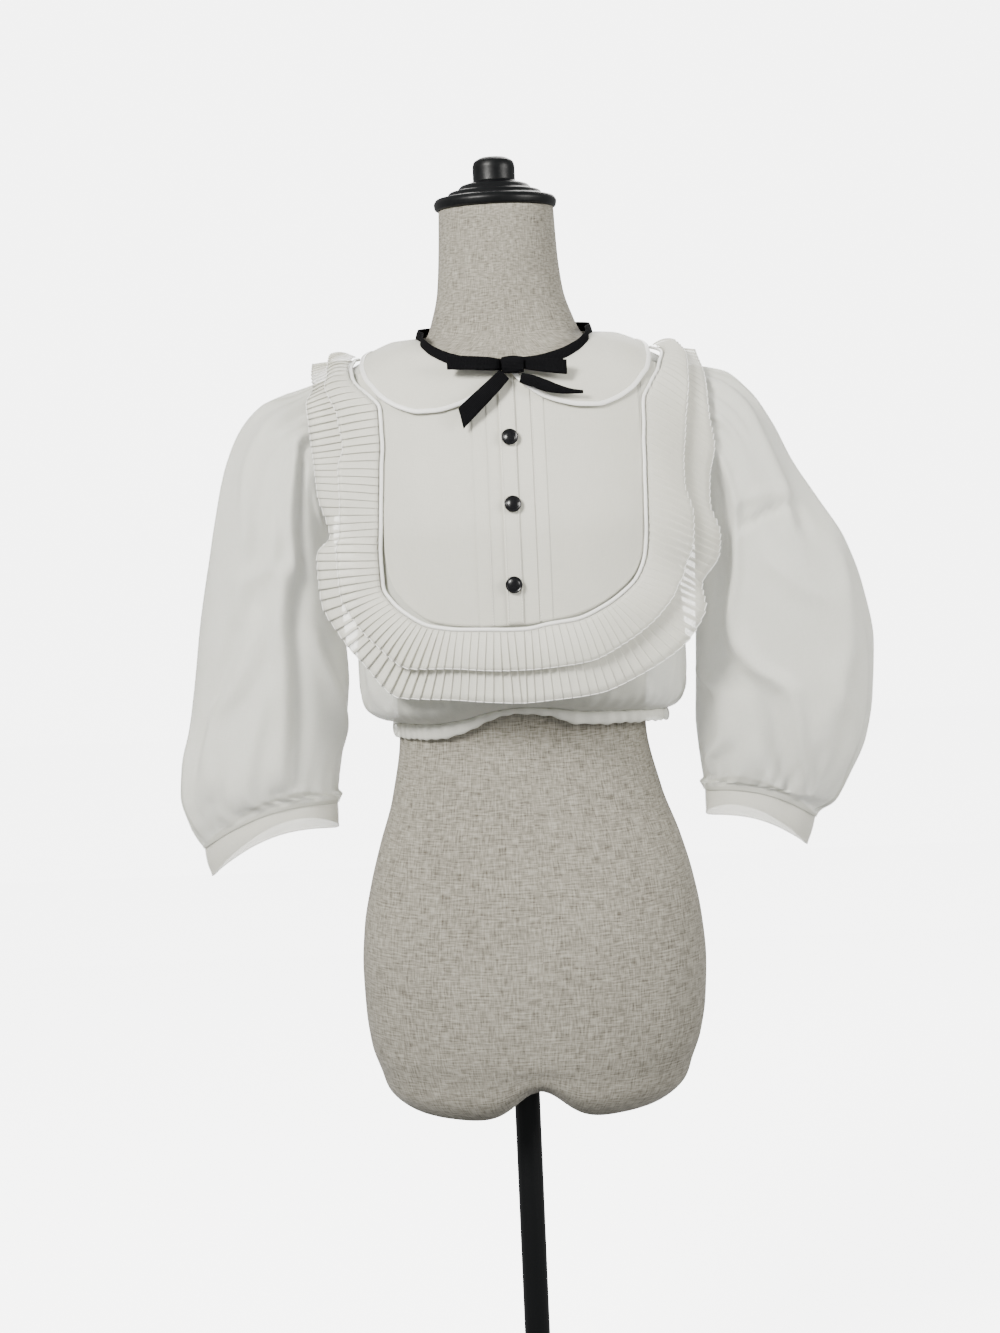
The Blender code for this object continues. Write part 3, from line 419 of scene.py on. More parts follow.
def form_point(z, angle, share=1.0):
    x, y = round_section(section_at("form", max(z, 440.0)), angle)
    groove = 0.0
    for seam_name, heights, angles in FORM_SEAMS:
        if heights[0] - 1 < z < heights[-1] + 1:
            away = (angle - smooth(heights, angles, z) + 180.0) % 360.0 - 180.0
            away *= 0.0175 * 120.0 / SEAM_WIDE
            if abs(away) < 4:
                groove += math.exp(-away * away)
    under_neck = (z - 1131.0) / SEAM_WIDE
    if abs(under_neck) < 4:
        groove += math.exp(-under_neck * under_neck)
    inward = 1.0 - SEAM_DEEP * min(groove, 1.0) / 120.0
    x *= share * inward
    y *= share * inward
    if y < 0:
        for side in (-1, 1):
            across = (x - side * BUST_X) / BUST_WIDE
            rise = (z - BUST_Z) / BUST_TALL
            y -= BUST_OUT * math.exp(-across * across - rise * rise)
    fade = min(max((455.0 - z) / NOTCH_FADE, 0.0), 1.0)
    lift = NOTCH_HIGH * fade * math.exp(-((x - 3.0) / NOTCH_WIDE) ** 2)
    return Vector((x, y, z + lift))


foot_steps = [i / 4.0 for i in range(4 * (len(FORM_FOOT) - 1))]
form_rows = []
for step in foot_steps:
    ranks = range(len(FORM_FOOT))
    foot_z = smooth(ranks, [row[0] for row in FORM_FOOT], step)
    foot_share = max(smooth(ranks, [row[1] for row in FORM_FOOT], step), 0.004)
    form_rows.append((foot_z, foot_share))
form_rows += [(440.0 + (1262.0 - 440.0) * i / 170.0, 1.0) for i in range(171)]
form_rows += [(1262.2, 0.97), (1262.3, 0.004)]
form_angles = [i * 360.0 / FORM_TURNS for i in range(FORM_TURNS)]
# Angles are crowded towards each seam, so its fine groove has faces of its own.
for seam_name, heights, angles in FORM_SEAMS:
    near = min(range(FORM_TURNS), key=lambda i: abs((form_angles[i] - angles[0] + 180) % 360 - 180))
    form_angles[near] = angles[0] % 360.0


def seam_drift(angle, z):
    """How far the columns of the form turn, so that they follow the seams up the form."""
    total, weight = 0.0, 0.0
    for seam_name, heights, angles in FORM_SEAMS:
        away = (angle - angles[0] + 180.0) % 360.0 - 180.0
        near = math.exp(-(away / 14.0) ** 2)
        total += near * (smooth(heights, angles, z) - angles[0])
        weight += near
    return total / max(weight, 1.0)


form_grid = [[form_point(z, angle + seam_drift(angle, z), share) for angle in form_angles]
             for z, share in form_rows]
form_torso = cloth_grid("linen_torso", form_grid, [Vector((0, 0, z)) for z, share in form_rows], True)
edit = bmesh.new()
edit.from_mesh(form_torso.data)
bmesh.ops.remove_doubles(edit, verts=[v for v in edit.verts if v.co.z > 1.2622 or v.co.z < 0.3960],
                         dist=0.0004)
bmesh.ops.holes_fill(edit, edges=[e for e in edit.edges if e.is_boundary])
edit.to_mesh(form_torso.data)
edit.free()

linen = Finish("slubbed_linen", 0.88, Sheen_Weight=0.12, Specular_IOR_Level=0.25)
linen_place = linen.chart()
upright_threads = linen.speckle(linen_place, (760.0, 90.0, 1.0), 1.0, 3.0)
level_threads = linen.speckle(linen_place, (95.0, 640.0, 1.0), 1.0, 3.0)
linen_cloud = linen.speckle(linen_place, (9.0, 9.0, 1.0), 1.0, 2.0)
linen_mix = upright_threads * 1.5 + level_threads * 1.7 + linen_cloud * 0.3 - 1.22
linen.colour((0.105, 0.094, 0.072), (0.385, 0.362, 0.302), linen_mix)
linen.relief(upright_threads + level_threads, 0.0004)
form_torso.data.materials.append(linen.material)
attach(form_torso, "root")
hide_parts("form_torso")

# The cap on the form's neck. Wood turned on a lathe, with a stepped rim and a short round finial,
# in black satin paint. The photograph shows it a little off level, but here it stands upright.
CAP_PROFILE = (
    (0, 1312), (12, 1311), (18.5, 1307.5), (20, 1303), (20, 1288.5), (32, 1285), (35.5, 1280.5),
    (43, 1279), (45.5, 1275), (56, 1273), (58.5, 1269), (57.5, 1263.8), (55.5, 1262.4), (0, 1262.4),
)
neck_cap = turned("turned_cap", CAP_PROFILE, 96, (BODY_X - 3.0, 1.0), 1.6)
neck_cap.data.materials.append(black_paint("cap_paint", 0.40, 260.0))
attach(neck_cap, "root")
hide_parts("neck_cap")

# The bodice's front and back. One layer of sheer organza each, joined in French seams at the sides,
# cut full and gathered onto the casing at the hem, so that it puffs out over it all round.
BODY = (
    (760, 140, 148, 112, 92, 2.4),
    (780, 150, 157, 120, 97, 2.5),
    (810, 153, 160, 128, 101, 2.6),
    (850, 152, 158, 132, 104, 2.7),
    (900, 151, 156, 134, 107, 2.8),
    (955, 152, 156, 133, 110, 2.8),
    (1000, 158, 161, 124, 110, 2.6),
    (1035, 169, 170, 112, 108, 2.5),
    (1060, 177, 178, 104, 104, 2.5),
    (1084, 181, 182, 95, 96, 2.5),
    (1098, 176, 177, 88, 89, 2.4),
    (1110, 160, 160, 82, 82, 2.3),
    (1122, 138, 138, 76, 76, 2.2),
    (1133, 110, 110, 71, 69, 2.1),
    (1143, 80, 80, 67, 63, 2.0),
    (1156, 74, 74, 62, 59, 2.0),
)
sections["body"] = BODY
NECK_ANGLE = (0, 7, 15, 24, 34, 52, 90, 135, 180)
NECK_Z = (1108, 1110, 1115, 1122, 1129, 1137.5, 1143, 1147, 1149)
# The casing round the hem: angle, its lower and upper heights, and how far it stands off the form.
HEM = (
    (-180, 768, 783, 0.0),
    (-120, 768, 783, 0.0),
    (-90, 766, 781, 1.0),
    (-60, 767, 782, 1.2),
    (-37.5, 768, 783, 3.5),
    (-22.5, 774, 787, 5.0),
    (-7.5, 788, 795, 4.5),
    (0, 791, 797, 3.5),
    (7.5, 788, 796, 4.5),
    (22.5, 778, 791, 6.0),
    (45, 776, 788, 11.0),
    (67.5, 774, 785, 18.0),
    (90, 770, 782, 17.0),
    (120, 768, 783, 5.0),
    (180, 768, 783, 0.0),
)
WAIST_Z = 785.0
CASING_THICK = 4.6
BODICE_OVER_CASING = 1.2
BLOUSON_RISE = (0.0, 5.0, 16.0, 34.0, 60.0)
BLOUSON_OUT = (0.0, 0.50, 0.84, 0.97, 1.0)
ARMHOLE_Z = (985, 992, 1005, 1025, 1050, 1072, 1088, 1099, 1105)
ARMHOLE_ANGLE = (90, 82, 76, 71, 70, 73, 78, 84, 90)
CLOTH_MID = 0.6
SHEER_THICK = 0.5
# Gathers rising from the casing: angle, how high they reach, how deep and how wide they are.
HEM_FOLDS = [(angle, 16.0 + 17.0 * ((k * 7) % 5) / 4.0, 1.5 + 1.1 * ((k * 3) % 4) / 3.0, 2.1)
             for k, angle in enumerate(range(-178, 180, 6))]
# Larger soft creases of the puffed cloth: angle and height at the lower end, then at the upper end,
# how far they stand out and how wide they are.
BODICE_FOLDS = (
    (-58, 800, -66, 872, 3.4, 9.0),
    (-70, 812, -82, 930, -3.0, 10.0),
    (-44, 806, -38, 850, 2.6, 8.0),
    (57, 806, 64, 868, 3.2, 9.0),
    (72, 802, 80, 905, 3.6, 9.0),
    (44, 812, 38, 846, -2.6, 8.0),
    (-100, 806, -112, 940, 3.2, 10.0),
    (-128, 800, -122, 905, 3.4, 9.0),
    (-150, 806, -160, 880, 2.8, 9.0),
    (172, 800, 176, 925, 3.2, 10.0),
    (146, 806, 152, 890, -2.8, 9.0),
    (122, 802, 116, 930, 3.4, 10.0),
    (100, 812, 104, 905, 2.6, 8.0),
)


def body_bare(angle, z):
    x, y = round_section(section_at("body", round(z, 2)), angle)
    return Vector((x, y, z))


def body_point(angle, z, out=0.0):
    """A point on the blouse's body, moved out along the cloth's normal."""
    here = body_bare(angle, z)
    around = body_bare(angle + 0.8, z) - body_bare(angle - 0.8, z)
    up = body_bare(angle, z + 1.5) - body_bare(angle, z - 1.5)
    return here + around.cross(up).normalized() * out


def neck_height(angle):
    turned_by = abs((angle + 180.0) % 360.0 - 180.0)
    return smooth(NECK_ANGLE, NECK_Z, turned_by)


def hem(column, angle):
    turned_by = (angle + 180.0) % 360.0 - 180.0
    return smooth([row[0] for row in HEM], [row[column] for row in HEM], turned_by)


def waist_point(angle, z, extra=0.0):
    x, y = round_section(section_at("form", WAIST_Z), angle)
    across = Vector((x, y, 0)).normalized() * (hem(3, angle) + extra)
    return Vector((x, y, z)) + across


def crease(angle, z):
    total = 0.0
    for low_angle, low_z, high_angle, high_z, high, wide in BODICE_FOLDS:
        t = (z - low_z) / (high_z - low_z)
        ends = min(max((t + 0.2) / 0.4, 0.0), 1.0) * min(max((1.2 - t) / 0.6, 0.0), 1.0)
        if ends > 0:
            middle = low_angle + (high_angle - low_angle) * min(max(t, 0.0), 1.0)
            away = ((angle - middle + 180.0) % 360.0 - 180.0) * 2.4 / wide
            total += high * math.exp(-away * away) * ends
    return total


def bodice_point(angle, z_share):
    low = hem(2, angle) + BODICE_OVER_CASING - 1.5
    z = low + z_share * (neck_height(angle) - low)
    rise = z - low
    out = smooth(BLOUSON_RISE, BLOUSON_OUT, rise)
    full = body_point(angle, z, CLOTH_MID)
    if out < 1.0:
        full = waist_point(angle, z, CASING_THICK / 2).lerp(full, out)
    ripple = 0.0
    for fold_angle, reach, high, wide in HEM_FOLDS:
        away = ((angle - fold_angle + 180.0) % 360.0 - 180.0) / wide
        if abs(away) < 3 and rise < reach:
            ripple += high * math.exp(-away * away) * math.sin(math.pi * min(rise / reach, 1.0)) ** 0.8
    outward = Vector((full.x, full.y * 1.4, 0)).normalized()
    return full + outward * (ripple + crease(angle, z) * min(rise / 20.0, 1.0))


def bodice_panel(name, centre, columns, rows):
    shares = [(r / (rows - 1.0)) ** 1.15 for r in range(rows)]
    grid, core = [], []
    for share in shares:
        line = []
        for i in range(columns + 1):
            turn = -1.0 + 2.0 * i / columns
            z_side = hem(2, centre + 90 * turn)
            z_side += share * (neck_height(centre + 90 * turn) - z_side)
            widest = smooth(ARMHOLE_Z, ARMHOLE_ANGLE, z_side) if z_side > ARMHOLE_Z[0] else 90.0
            line.append(bodice_point(centre + widest * turn, share))
        grid.append(line)
        core.append(Vector((0, 0, line[0].z)))
    return cloth_grid(name, grid, core)


def thicken(piece, millimetres):
    wall = piece.modifiers.new("cloth_thickness", "SOLIDIFY")
    wall.thickness = millimetres * 0.001
    wall.offset = 0.0


def sheer_finish(name, opacity, dark, pale, weave=2.6, cloud=0.10):
    """Fine plain weave that lets part of what is behind show: the closer threads let less through."""
    cloth = Finish(name, 0.62, Sheen_Weight=0.35, Sheen_Roughness=0.4, Specular_IOR_Level=0.35)
    place = cloth.chart()
    warp = cloth.speckle(place, (2100.0, 90.0, 1.0), 1.0, 2.0)
    weft = cloth.speckle(place, (90.0, 2100.0, 1.0), 1.0, 2.0)
    patch = cloth.speckle(place, (14.0, 9.0, 1.0), 1.0, 2.0)
    threads = (warp + weft) * 0.5
    cloth.colour(dark, pale, threads * 0.6 + patch * 0.5 - 0.05)
    cloth.set("Alpha", threads * 0.12 + patch * cloud + (opacity - 0.06 - cloud / 2))
    cloth.relief(threads, weave * 0.0001)
    return cloth.material


organza = sheer_finish("organza", 0.56, (0.66, 0.66, 0.58), (0.86, 0.86, 0.78))
bodice_front = bodice_panel("bodice_front_cloth", 0.0, 190, 110)
bodice_back = bodice_panel("bodice_back_cloth", 180.0, 170, 100)
for piece, node in ((bodice_front, "bodice_front"), (bodice_back, "bodice_back")):
    thicken(piece, SHEER_THICK)
    piece.data.materials.append(organza)
    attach(piece, "root")
    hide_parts(node)

# The casing round the hem. A narrow tube of the cloth with elastic in it, so it lies in many small
# gathers, and rides up to a soft point at the centre front.
CASING_TURNS = 720
CASING_SIDES = 12
CASING_GATHERS = 58
CASING_SLACKS = 23
CASING_MIDDLE_Z = 778.0
casing_rings, casing_middles = [], []
for i in range(CASING_TURNS):
    angle = -180.0 + 360.0 * i / CASING_TURNS
    around = math.radians(angle)
    low, high = hem(1, angle), hem(2, angle)
    gather = math.sin(around * CASING_GATHERS + 1.6 * math.sin(around * 7))
    slack = math.sin(around * CASING_SLACKS + 0.7)
    puff = 1.0 + 0.26 * gather + 0.16 * slack
    half_high = (high - low) / 2 + 0.5 * gather + 0.4 * slack
    ring = []
    for k in range(CASING_SIDES):
        turn = math.tau * k / CASING_SIDES
        extra = CASING_THICK / 2 + CASING_THICK / 2 * puff * math.cos(turn)
        z = (low + high) / 2 + half_high * math.sin(turn)
        ring.append(waist_point(angle + 0.25 * math.sin(turn) * slack, z, extra))
    casing_rings.append(ring)
    casing_middles.append(waist_point(angle, CASING_MIDDLE_Z, CASING_THICK / 2))
casing_rings.append(casing_rings[0])
casing_middles.append(casing_middles[0])
hem_casing = cloth_grid("hem_casing_cloth", casing_rings, casing_middles, True)
weld = hem_casing.modifiers.new("close_ring", "WELD")
weld.merge_threshold = 0.00002
organza_thick = sheer_finish("organza_folded", 0.74, (0.70, 0.70, 0.62), (0.88, 0.87, 0.79))
hem_casing.data.materials.append(organza_thick)
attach(hem_casing, "root")
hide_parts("hem_casing")

# The bib. A second layer of organza laid over the front from the neckline to a rounded lower edge,
# with two flat tucks on each side of its middle that are pressed outwards.
BIB_X = (-136, -127, -120, -117.5, -115, -112, -104, -93, -76, -52, -26, 0,
         28, 52, 73, 92, 107, 115, 118.5, 120.5, 123, 130, 139)
BIB_Z = (1101, 1089, 1075, 1040, 946, 923, 905, 893, 882, 877.5, 876, 876,
         879, 883, 891, 903, 918, 938, 962, 1050, 1076, 1090, 1101)
BIB_TOP_X = (0, 25, 45, 60, 80, 118, 140)
BIB_TOP_Z = (1106, 1108, 1112, 1115, 1117, 1113, 1106)
BIB_OFFSET = 2.9
# Each tuck: x of its folded edge, x of its stitched side, and how high the fold stands.
TUCKS = ((-33.0, -20.0, 0.95), (-20.0, -8.5, 0.8), (20.0, 6.5, 0.8), (32.0, 20.0, 0.95))


def front_bare(x, z):
    size = section_at("body", round(z, 2))
    half = size["right"] if x > 0 else size["left"]
    inside = max(1.0 - min(abs(x) / half, 1.0) ** size["square"], 0.0)
    return Vector((x, -size["front"] * inside ** (1.0 / size["square"]), z))


def front_point(x, z, out=0.0):
    here = front_bare(x, z)
    across = front_bare(x + 1.0, z) - front_bare(x - 1.0, z)
    up = front_bare(x, z + 1.5) - front_bare(x, z - 1.5)
    return here + across.cross(up).normalized() * out


def bib_span(x):
    return smooth(BIB_X, BIB_Z, x), smooth(BIB_TOP_X, BIB_TOP_Z, abs(x))


def bib_reach(x, z):
    """Near its sides the bib is let out to the seam, which isn't quite upright."""
    far = min(max((abs(x) - 60.0) / 55.0, 0.0), 1.0)
    sway = smooth((900, 945, 975, 1010, 1050, 1076), (0.0, 1.2, 0.6, -0.6, -0.4, 0.0), z)
    return x + math.copysign(sway * far, x)


def tuck_height(x):
    for fold, side, high in TUCKS:
        if min(fold, side) <= x <= max(fold, side):
            return high * (1.0 - abs(x - fold) / abs(side - fold)) ** 0.7
    return 0.0


BIB_STEPS = 130
BIB_ROWS = 84
# Three columns of points run down each tuck's fold, so that its edge is crisp.
tuck_columns = []
for fold, side, high in TUCKS:
    inward = math.copysign(1, -fold)
    tuck_columns += [fold - 0.45 * inward, fold, fold + 0.5 * inward]
bib_width = BIB_X[-1] - BIB_X[0]
even_columns = [BIB_X[0] + bib_width * i / BIB_STEPS for i in range(BIB_STEPS + 1)]
bib_columns = sorted(set(even_columns + tuck_columns))
bib_grid = []
for r in range(BIB_ROWS):
    line = []
    for x in bib_columns:
        bottom, top = bib_span(x)
        z = bottom + (top - bottom) * r / (BIB_ROWS - 1.0)
        x = bib_reach(x, z)
        shoulder = 0.9 * min(max((z - 1060.0) / 30.0, 0.0), 1.0) * min(abs(x) / 50.0, 1.0)
        slack = 0.8 * math.sin(x * 0.045 + z * 0.021) * math.sin(math.pi * r / (BIB_ROWS - 1.0))
        line.append(front_point(x, z, BIB_OFFSET + shoulder + tuck_height(x) + slack * 0.5))
    bib_grid.append(line)
bib = cloth_grid("bib_cloth", bib_grid, [Vector((0, 0, line[0].z)) for line in bib_grid])
thicken(bib, SHEER_THICK)
organza_bib = sheer_finish("organza_bib", 0.58, (0.74, 0.73, 0.64), (0.92, 0.905, 0.81))
bib.data.materials.append(organza_bib)
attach(bib, "root")
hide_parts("bib")

# The tucks' inner layers, which make each tuck whiter than the single cloth beside it, and the
# placket's buttoned band down the middle, folded under at both edges.
def front_band(name, left, right, low, high, out, bulge, material, steps=14, rows=60):
    grid = []
    for r in range(rows):
        z = low + (high - low) * r / (rows - 1.0)
        line = []
        for i in range(steps + 1):
            t = i / float(steps)
            x = left + (right - left) * t
            edge = min(t, 1.0 - t) * (right - left)
            roll = bulge * min(edge / 0.8, 1.0) ** 0.5
            line.append(front_point(x, z, out + roll))
        grid.append(line)
    band = cloth_grid(name, grid, [Vector((0, 0, line[0].z)) for line in grid])
    thicken(band, 0.4)
    band.data.materials.append(material)
    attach(band, "root")
    return band


organza_tuck = sheer_finish("organza_tuck", 0.55, (0.80, 0.79, 0.70), (0.94, 0.925, 0.83))
TUCK_LAYERS = ((-32.6, -21.5), (-19.6, -10.5), (9.5, 19.6), (21.5, 31.6))
for number, (left, right) in enumerate(TUCK_LAYERS):
    low = max(bib_span(left)[0], bib_span(right)[0]) + 1.0
    inner = front_band("tuck_layer_%d" % (number + 1), left, right, low, 1104.0, BIB_OFFSET - 0.45,
                       0.0, organza_tuck, 6)
PLACKET_LEFT = -8.5
PLACKET_RIGHT = 6.5
placket = front_band("placket_cloth", PLACKET_LEFT, PLACKET_RIGHT, 877.5, 1100.0, BIB_OFFSET + 1.2,
                     0.5, organza_bib)
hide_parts("placket")

# The stitching. Rows of short lockstitches in white thread hold the placket's edges and the two
# inner tucks, and further down the armholes and the cuffs; each stitch is a short length of thread.
def stitch_tree():
    tree = bpy.data.node_groups.new("stitch_row", "GeometryNodeTree")
    face = tree.interface
    face.new_socket("Path", in_out="INPUT", socket_type="NodeSocketGeometry")
    for label, usual in (("Stitch Pitch", 0.0026), ("Stitch Length", 0.0019), ("Thread Radius", 0.0002)):
        face.new_socket(label, in_out="INPUT", socket_type="NodeSocketFloat").default_value = usual
    face.new_socket("Thread", in_out="INPUT", socket_type="NodeSocketMaterial")
    face.new_socket("Stitches", in_out="OUTPUT", socket_type="NodeSocketGeometry")
    nodes, link = tree.nodes, tree.links.new
    given = nodes.new("NodeGroupInput")
    wire = nodes.new("GeometryNodeMeshToCurve")
    spaced = nodes.new("GeometryNodeResampleCurve")
    spaced.mode = "LENGTH"
    heading = nodes.new("GeometryNodeInputTangent")
    aim = nodes.new("FunctionNodeAlignRotationToVector")
    aim.axis = "Z"
    thread = nodes.new("GeometryNodeMeshCylinder")
    thread.inputs["Vertices"].default_value = 6
    thread.inputs["Side Segments"].default_value = 3
    laid = nodes.new("GeometryNodeInstanceOnPoints")
    real = nodes.new("GeometryNodeRealizeInstances")
    smooth_faces = nodes.new("GeometryNodeSetShadeSmooth")
    paint = nodes.new("GeometryNodeSetMaterial")
    result = nodes.new("NodeGroupOutput")
    link(given.outputs["Path"], wire.inputs[0])
    link(wire.outputs[0], spaced.inputs["Curve"])
    link(given.outputs["Stitch Pitch"], spaced.inputs["Length"])
    link(spaced.outputs[0], laid.inputs["Points"])
    link(heading.outputs[0], aim.inputs["Vector"])
    link(aim.outputs[0], laid.inputs["Rotation"])
    link(given.outputs["Thread Radius"], thread.inputs["Radius"])
    link(given.outputs["Stitch Length"], thread.inputs["Depth"])
    link(thread.outputs["Mesh"], laid.inputs["Instance"])
    link(laid.outputs[0], real.inputs[0])
    link(real.outputs[0], smooth_faces.inputs[0])
    link(smooth_faces.outputs[0], paint.inputs["Geometry"])
    link(given.outputs["Thread"], paint.inputs["Material"])
    link(paint.outputs[0], result.inputs[0])
    return tree


stitch_row = stitch_tree()
STITCH_PITCH = 2.6
STITCH_LENGTH = 1.8
THREAD_RADIUS = 0.17
FINE_THREAD_RADIUS = 0.16


def thread_finish(name, dark, pale, roughness=0.5):
    thread = Finish(name, roughness, Sheen_Weight=0.2)
    place = thread.node("ShaderNodeTexCoord", {}, {}, 3)
    twist = thread.speckle(place, (1.0, 1.0, 1.0), 1900.0, 1.0)
    thread.colour(dark, pale, twist)
    thread.relief(twist, 0.0001)
    return thread.material


white_thread = thread_finish("white_thread", (0.72, 0.71, 0.67), (0.92, 0.91, 0.87))


def stitched(name, paths, radius):
    """Rows of stitches along paths of points, made by the stitch tree and kept as a plain mesh."""
    points, edges = [], []
    for path in paths:
        start = len(points)
        points += [(p + Vector((BODY_X, 0, 0))) * 0.001 for p in path]
        edges += [(start + i, start + i + 1) for i in range(len(path) - 1)]
    wire = bpy.data.meshes.new(name)
    wire.from_pydata(points, edges, [])
    piece = bpy.data.objects.new(name, wire)
    bpy.context.scene.collection.objects.link(piece)
    rule = piece.modifiers.new("stitches", "NODES")
    rule.node_group = stitch_row
    sockets = {s.name: s.identifier for s in stitch_row.interface.items_tree if s.in_out == "INPUT"}
    rule[sockets["Stitch Pitch"]] = STITCH_PITCH * 0.001
    rule[sockets["Stitch Length"]] = STITCH_LENGTH * 0.001
    rule[sockets["Thread Radius"]] = radius * 0.001
    rule[sockets["Thread"]] = white_thread
    bpy.context.view_layer.update()
    plain = bpy.data.meshes.new_from_object(piece.evaluated_get(bpy.context.evaluated_depsgraph_get()))
    piece.modifiers.clear()
    piece.data = plain
    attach(piece, "root")
    return piece


def front_line(x, low, high, out, steps=60):
    return [front_point(x, low + (high - low) * i / steps, out) for i in range(steps + 1)]


placket_rows = [front_line(x, 879, 1098, BIB_OFFSET + 2.35)
                for x in (PLACKET_LEFT + 1.3, PLACKET_RIGHT - 1.3)]
stitched("placket_stitches", placket_rows, THREAD_RADIUS)
tuck_rows = [front_line(x, bib_span(x)[0] + 2, 1102, BIB_OFFSET + 0.45) for x in (-21.4, 21.4)]
stitched("tuck_stitches", tuck_rows, THREAD_RADIUS)

# The three buttons. Domed black plastic, polished, with a fine turned step round the dome; each is
# sewn through a shank to the placket.
BUTTON_PROFILE = ((0, 3.6), (2.6, 3.35), (4.6, 2.75), (5.7, 2.15), (6.2, 2.35), (7.0, 2.7), (7.6, 2.2),
                  (7.8, 1.3), (6.8, 0.0), (0, 0.0))
BUTTONS = ((0.5, 1044.0), (0.5, 984.0), (-1.5, 913.0))
button_plastic = Finish("button_plastic", 0.24, Specular_IOR_Level=0.35)
button_place = button_plastic.node("ShaderNodeTexCoord", {}, {}, 3)
button_wear = button_plastic.speckle(button_place, (1, 1, 1), 420.0, 2.0)
button_plastic.colour((0.002, 0.002, 0.0024), (0.005, 0.005, 0.006), button_wear)
button_plastic.set("Roughness", button_wear * 0.2 + 0.16)
for number, (x, z) in enumerate(BUTTONS):
    button = turned("domed_button_%d" % (number + 1), BUTTON_PROFILE, 48, bend=0.5)
    seat = front_point(x, z, BIB_OFFSET + 3.0) + Vector((BODY_X, 0, 0))
    lean = front_point(x, z, 10.0) - front_point(x, z, 0.0)
    place = Matrix.Translation(seat * 0.001) @ lean.to_track_quat("Z", "Y").to_matrix().to_4x4()
    button.data.transform(place)
    button.data.materials.append(button_plastic.material)
    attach(button, "root")
    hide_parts("button_%d" % (number + 1))

# The two ruffles. Strips of organza pressed into narrow knife pleats and sewn into one seam round
# the bib, the wider one below; each has a fine rolled and overcast hem along its free edge.
RUFFLES = (
    (-94, 1122.4, -183, 5, 1124, 0.50),
    (-77, 1119.5, -182, -30, 1112, 0.50),
    (-62, 1111, -180, -54, 1099, 0.50),
    (-46, 1096, -186, -65, 1084, 0.52),
    (-35, 1076, -185, -68, 1066, 0.52),
    (-36.3, 1048, -183, -72, 1042, 0.49),
    (-39.7, 1021, -181, -76, 1024, 0.57),
    (-42.3, 994, -179, -80, 1001, 0.57),
    (-43.7, 966, -169, -84, 964, 0.70),
    (-44.7, 943, -181, -86, 945, 0.60),
    (-44.3, 916, -179, -90, 904, 0.60),
    (-39.9, 902, -163, -99, 871, 0.60),
    (-32.1, 889, -141, -112, 844, 0.59),
    (-23.5, 879, -110, -126, 814, 0.56),
    (-13.2, 875, -62, -138, 811, 0.52),
    (-4.8, 874, -30, -142, 808, 0.53),
    (0.1, 873, 3, -143, 806, 0.52),
    (5.6, 877, 37, -142, 808, 0.54),
    (12.9, 880, 70, -136, 811, 0.53),
    (21.1, 889, 110, -126, 825, 0.50),
    (29.5, 901, 156, -110, 854, 0.47),
    (36.7, 915, 174, -98, 884, 0.49),
    (41.3, 936, 172, -92, 902, 0.58),
    (42.6, 961, 188, -86, 928, 0.56),
    (42.8, 988, 190, -84, 949, 0.56),
    (42.1, 1015, 183, -80, 976, 0.52),
    (39.9, 1043, 184, -76, 1002, 0.52),
    (38.0, 1074, 190, -72, 1030, 0.52),
    (47.5, 1098, 187, -66, 1060, 0.50),
    (65.0, 1112, 186, -40, 1094, 0.46),
    (94.0, 1122.4, 182, 5, 1122, 0.46),
)
RUFFLE_OUT = 6.5
RUFFLE_SEAM_STEP = 2.0
RUFFLE_LIFT = 7.0
RUFFLE_PLEATS = 126
COLUMNS_A_PLEAT = 10
RUFFLE_ROWS = 10
station_ranks = list(range(len(RUFFLES)))


def at_station(column, place):
    return smooth(station_ranks, [row[column] for row in RUFFLES], place)


def ruffle_station(place):
    seam = body_point(at_station(0, place), at_station(1, place), RUFFLE_OUT)
    edge = Vector([at_station(column, place) for column in (2, 3, 4)])
    return seam, edge, at_station(5, place)


def ruffle_frame(place):
    seam, edge, share = ruffle_station(place)
    ahead = ruffle_station(min(place + 0.25, len(RUFFLES) - 1.0))
    behind = ruffle_station(max(place - 0.25, 0.0))
    along = (ahead[0] + ahead[1] - behind[0] - behind[1]).normalized()
    outward = (edge - seam).normalized()
    normal = outward.cross(along).normalized()
    if normal.y - normal.z * 0.6 > 0:
        normal = -normal
    return seam, edge, share, outward, normal, along


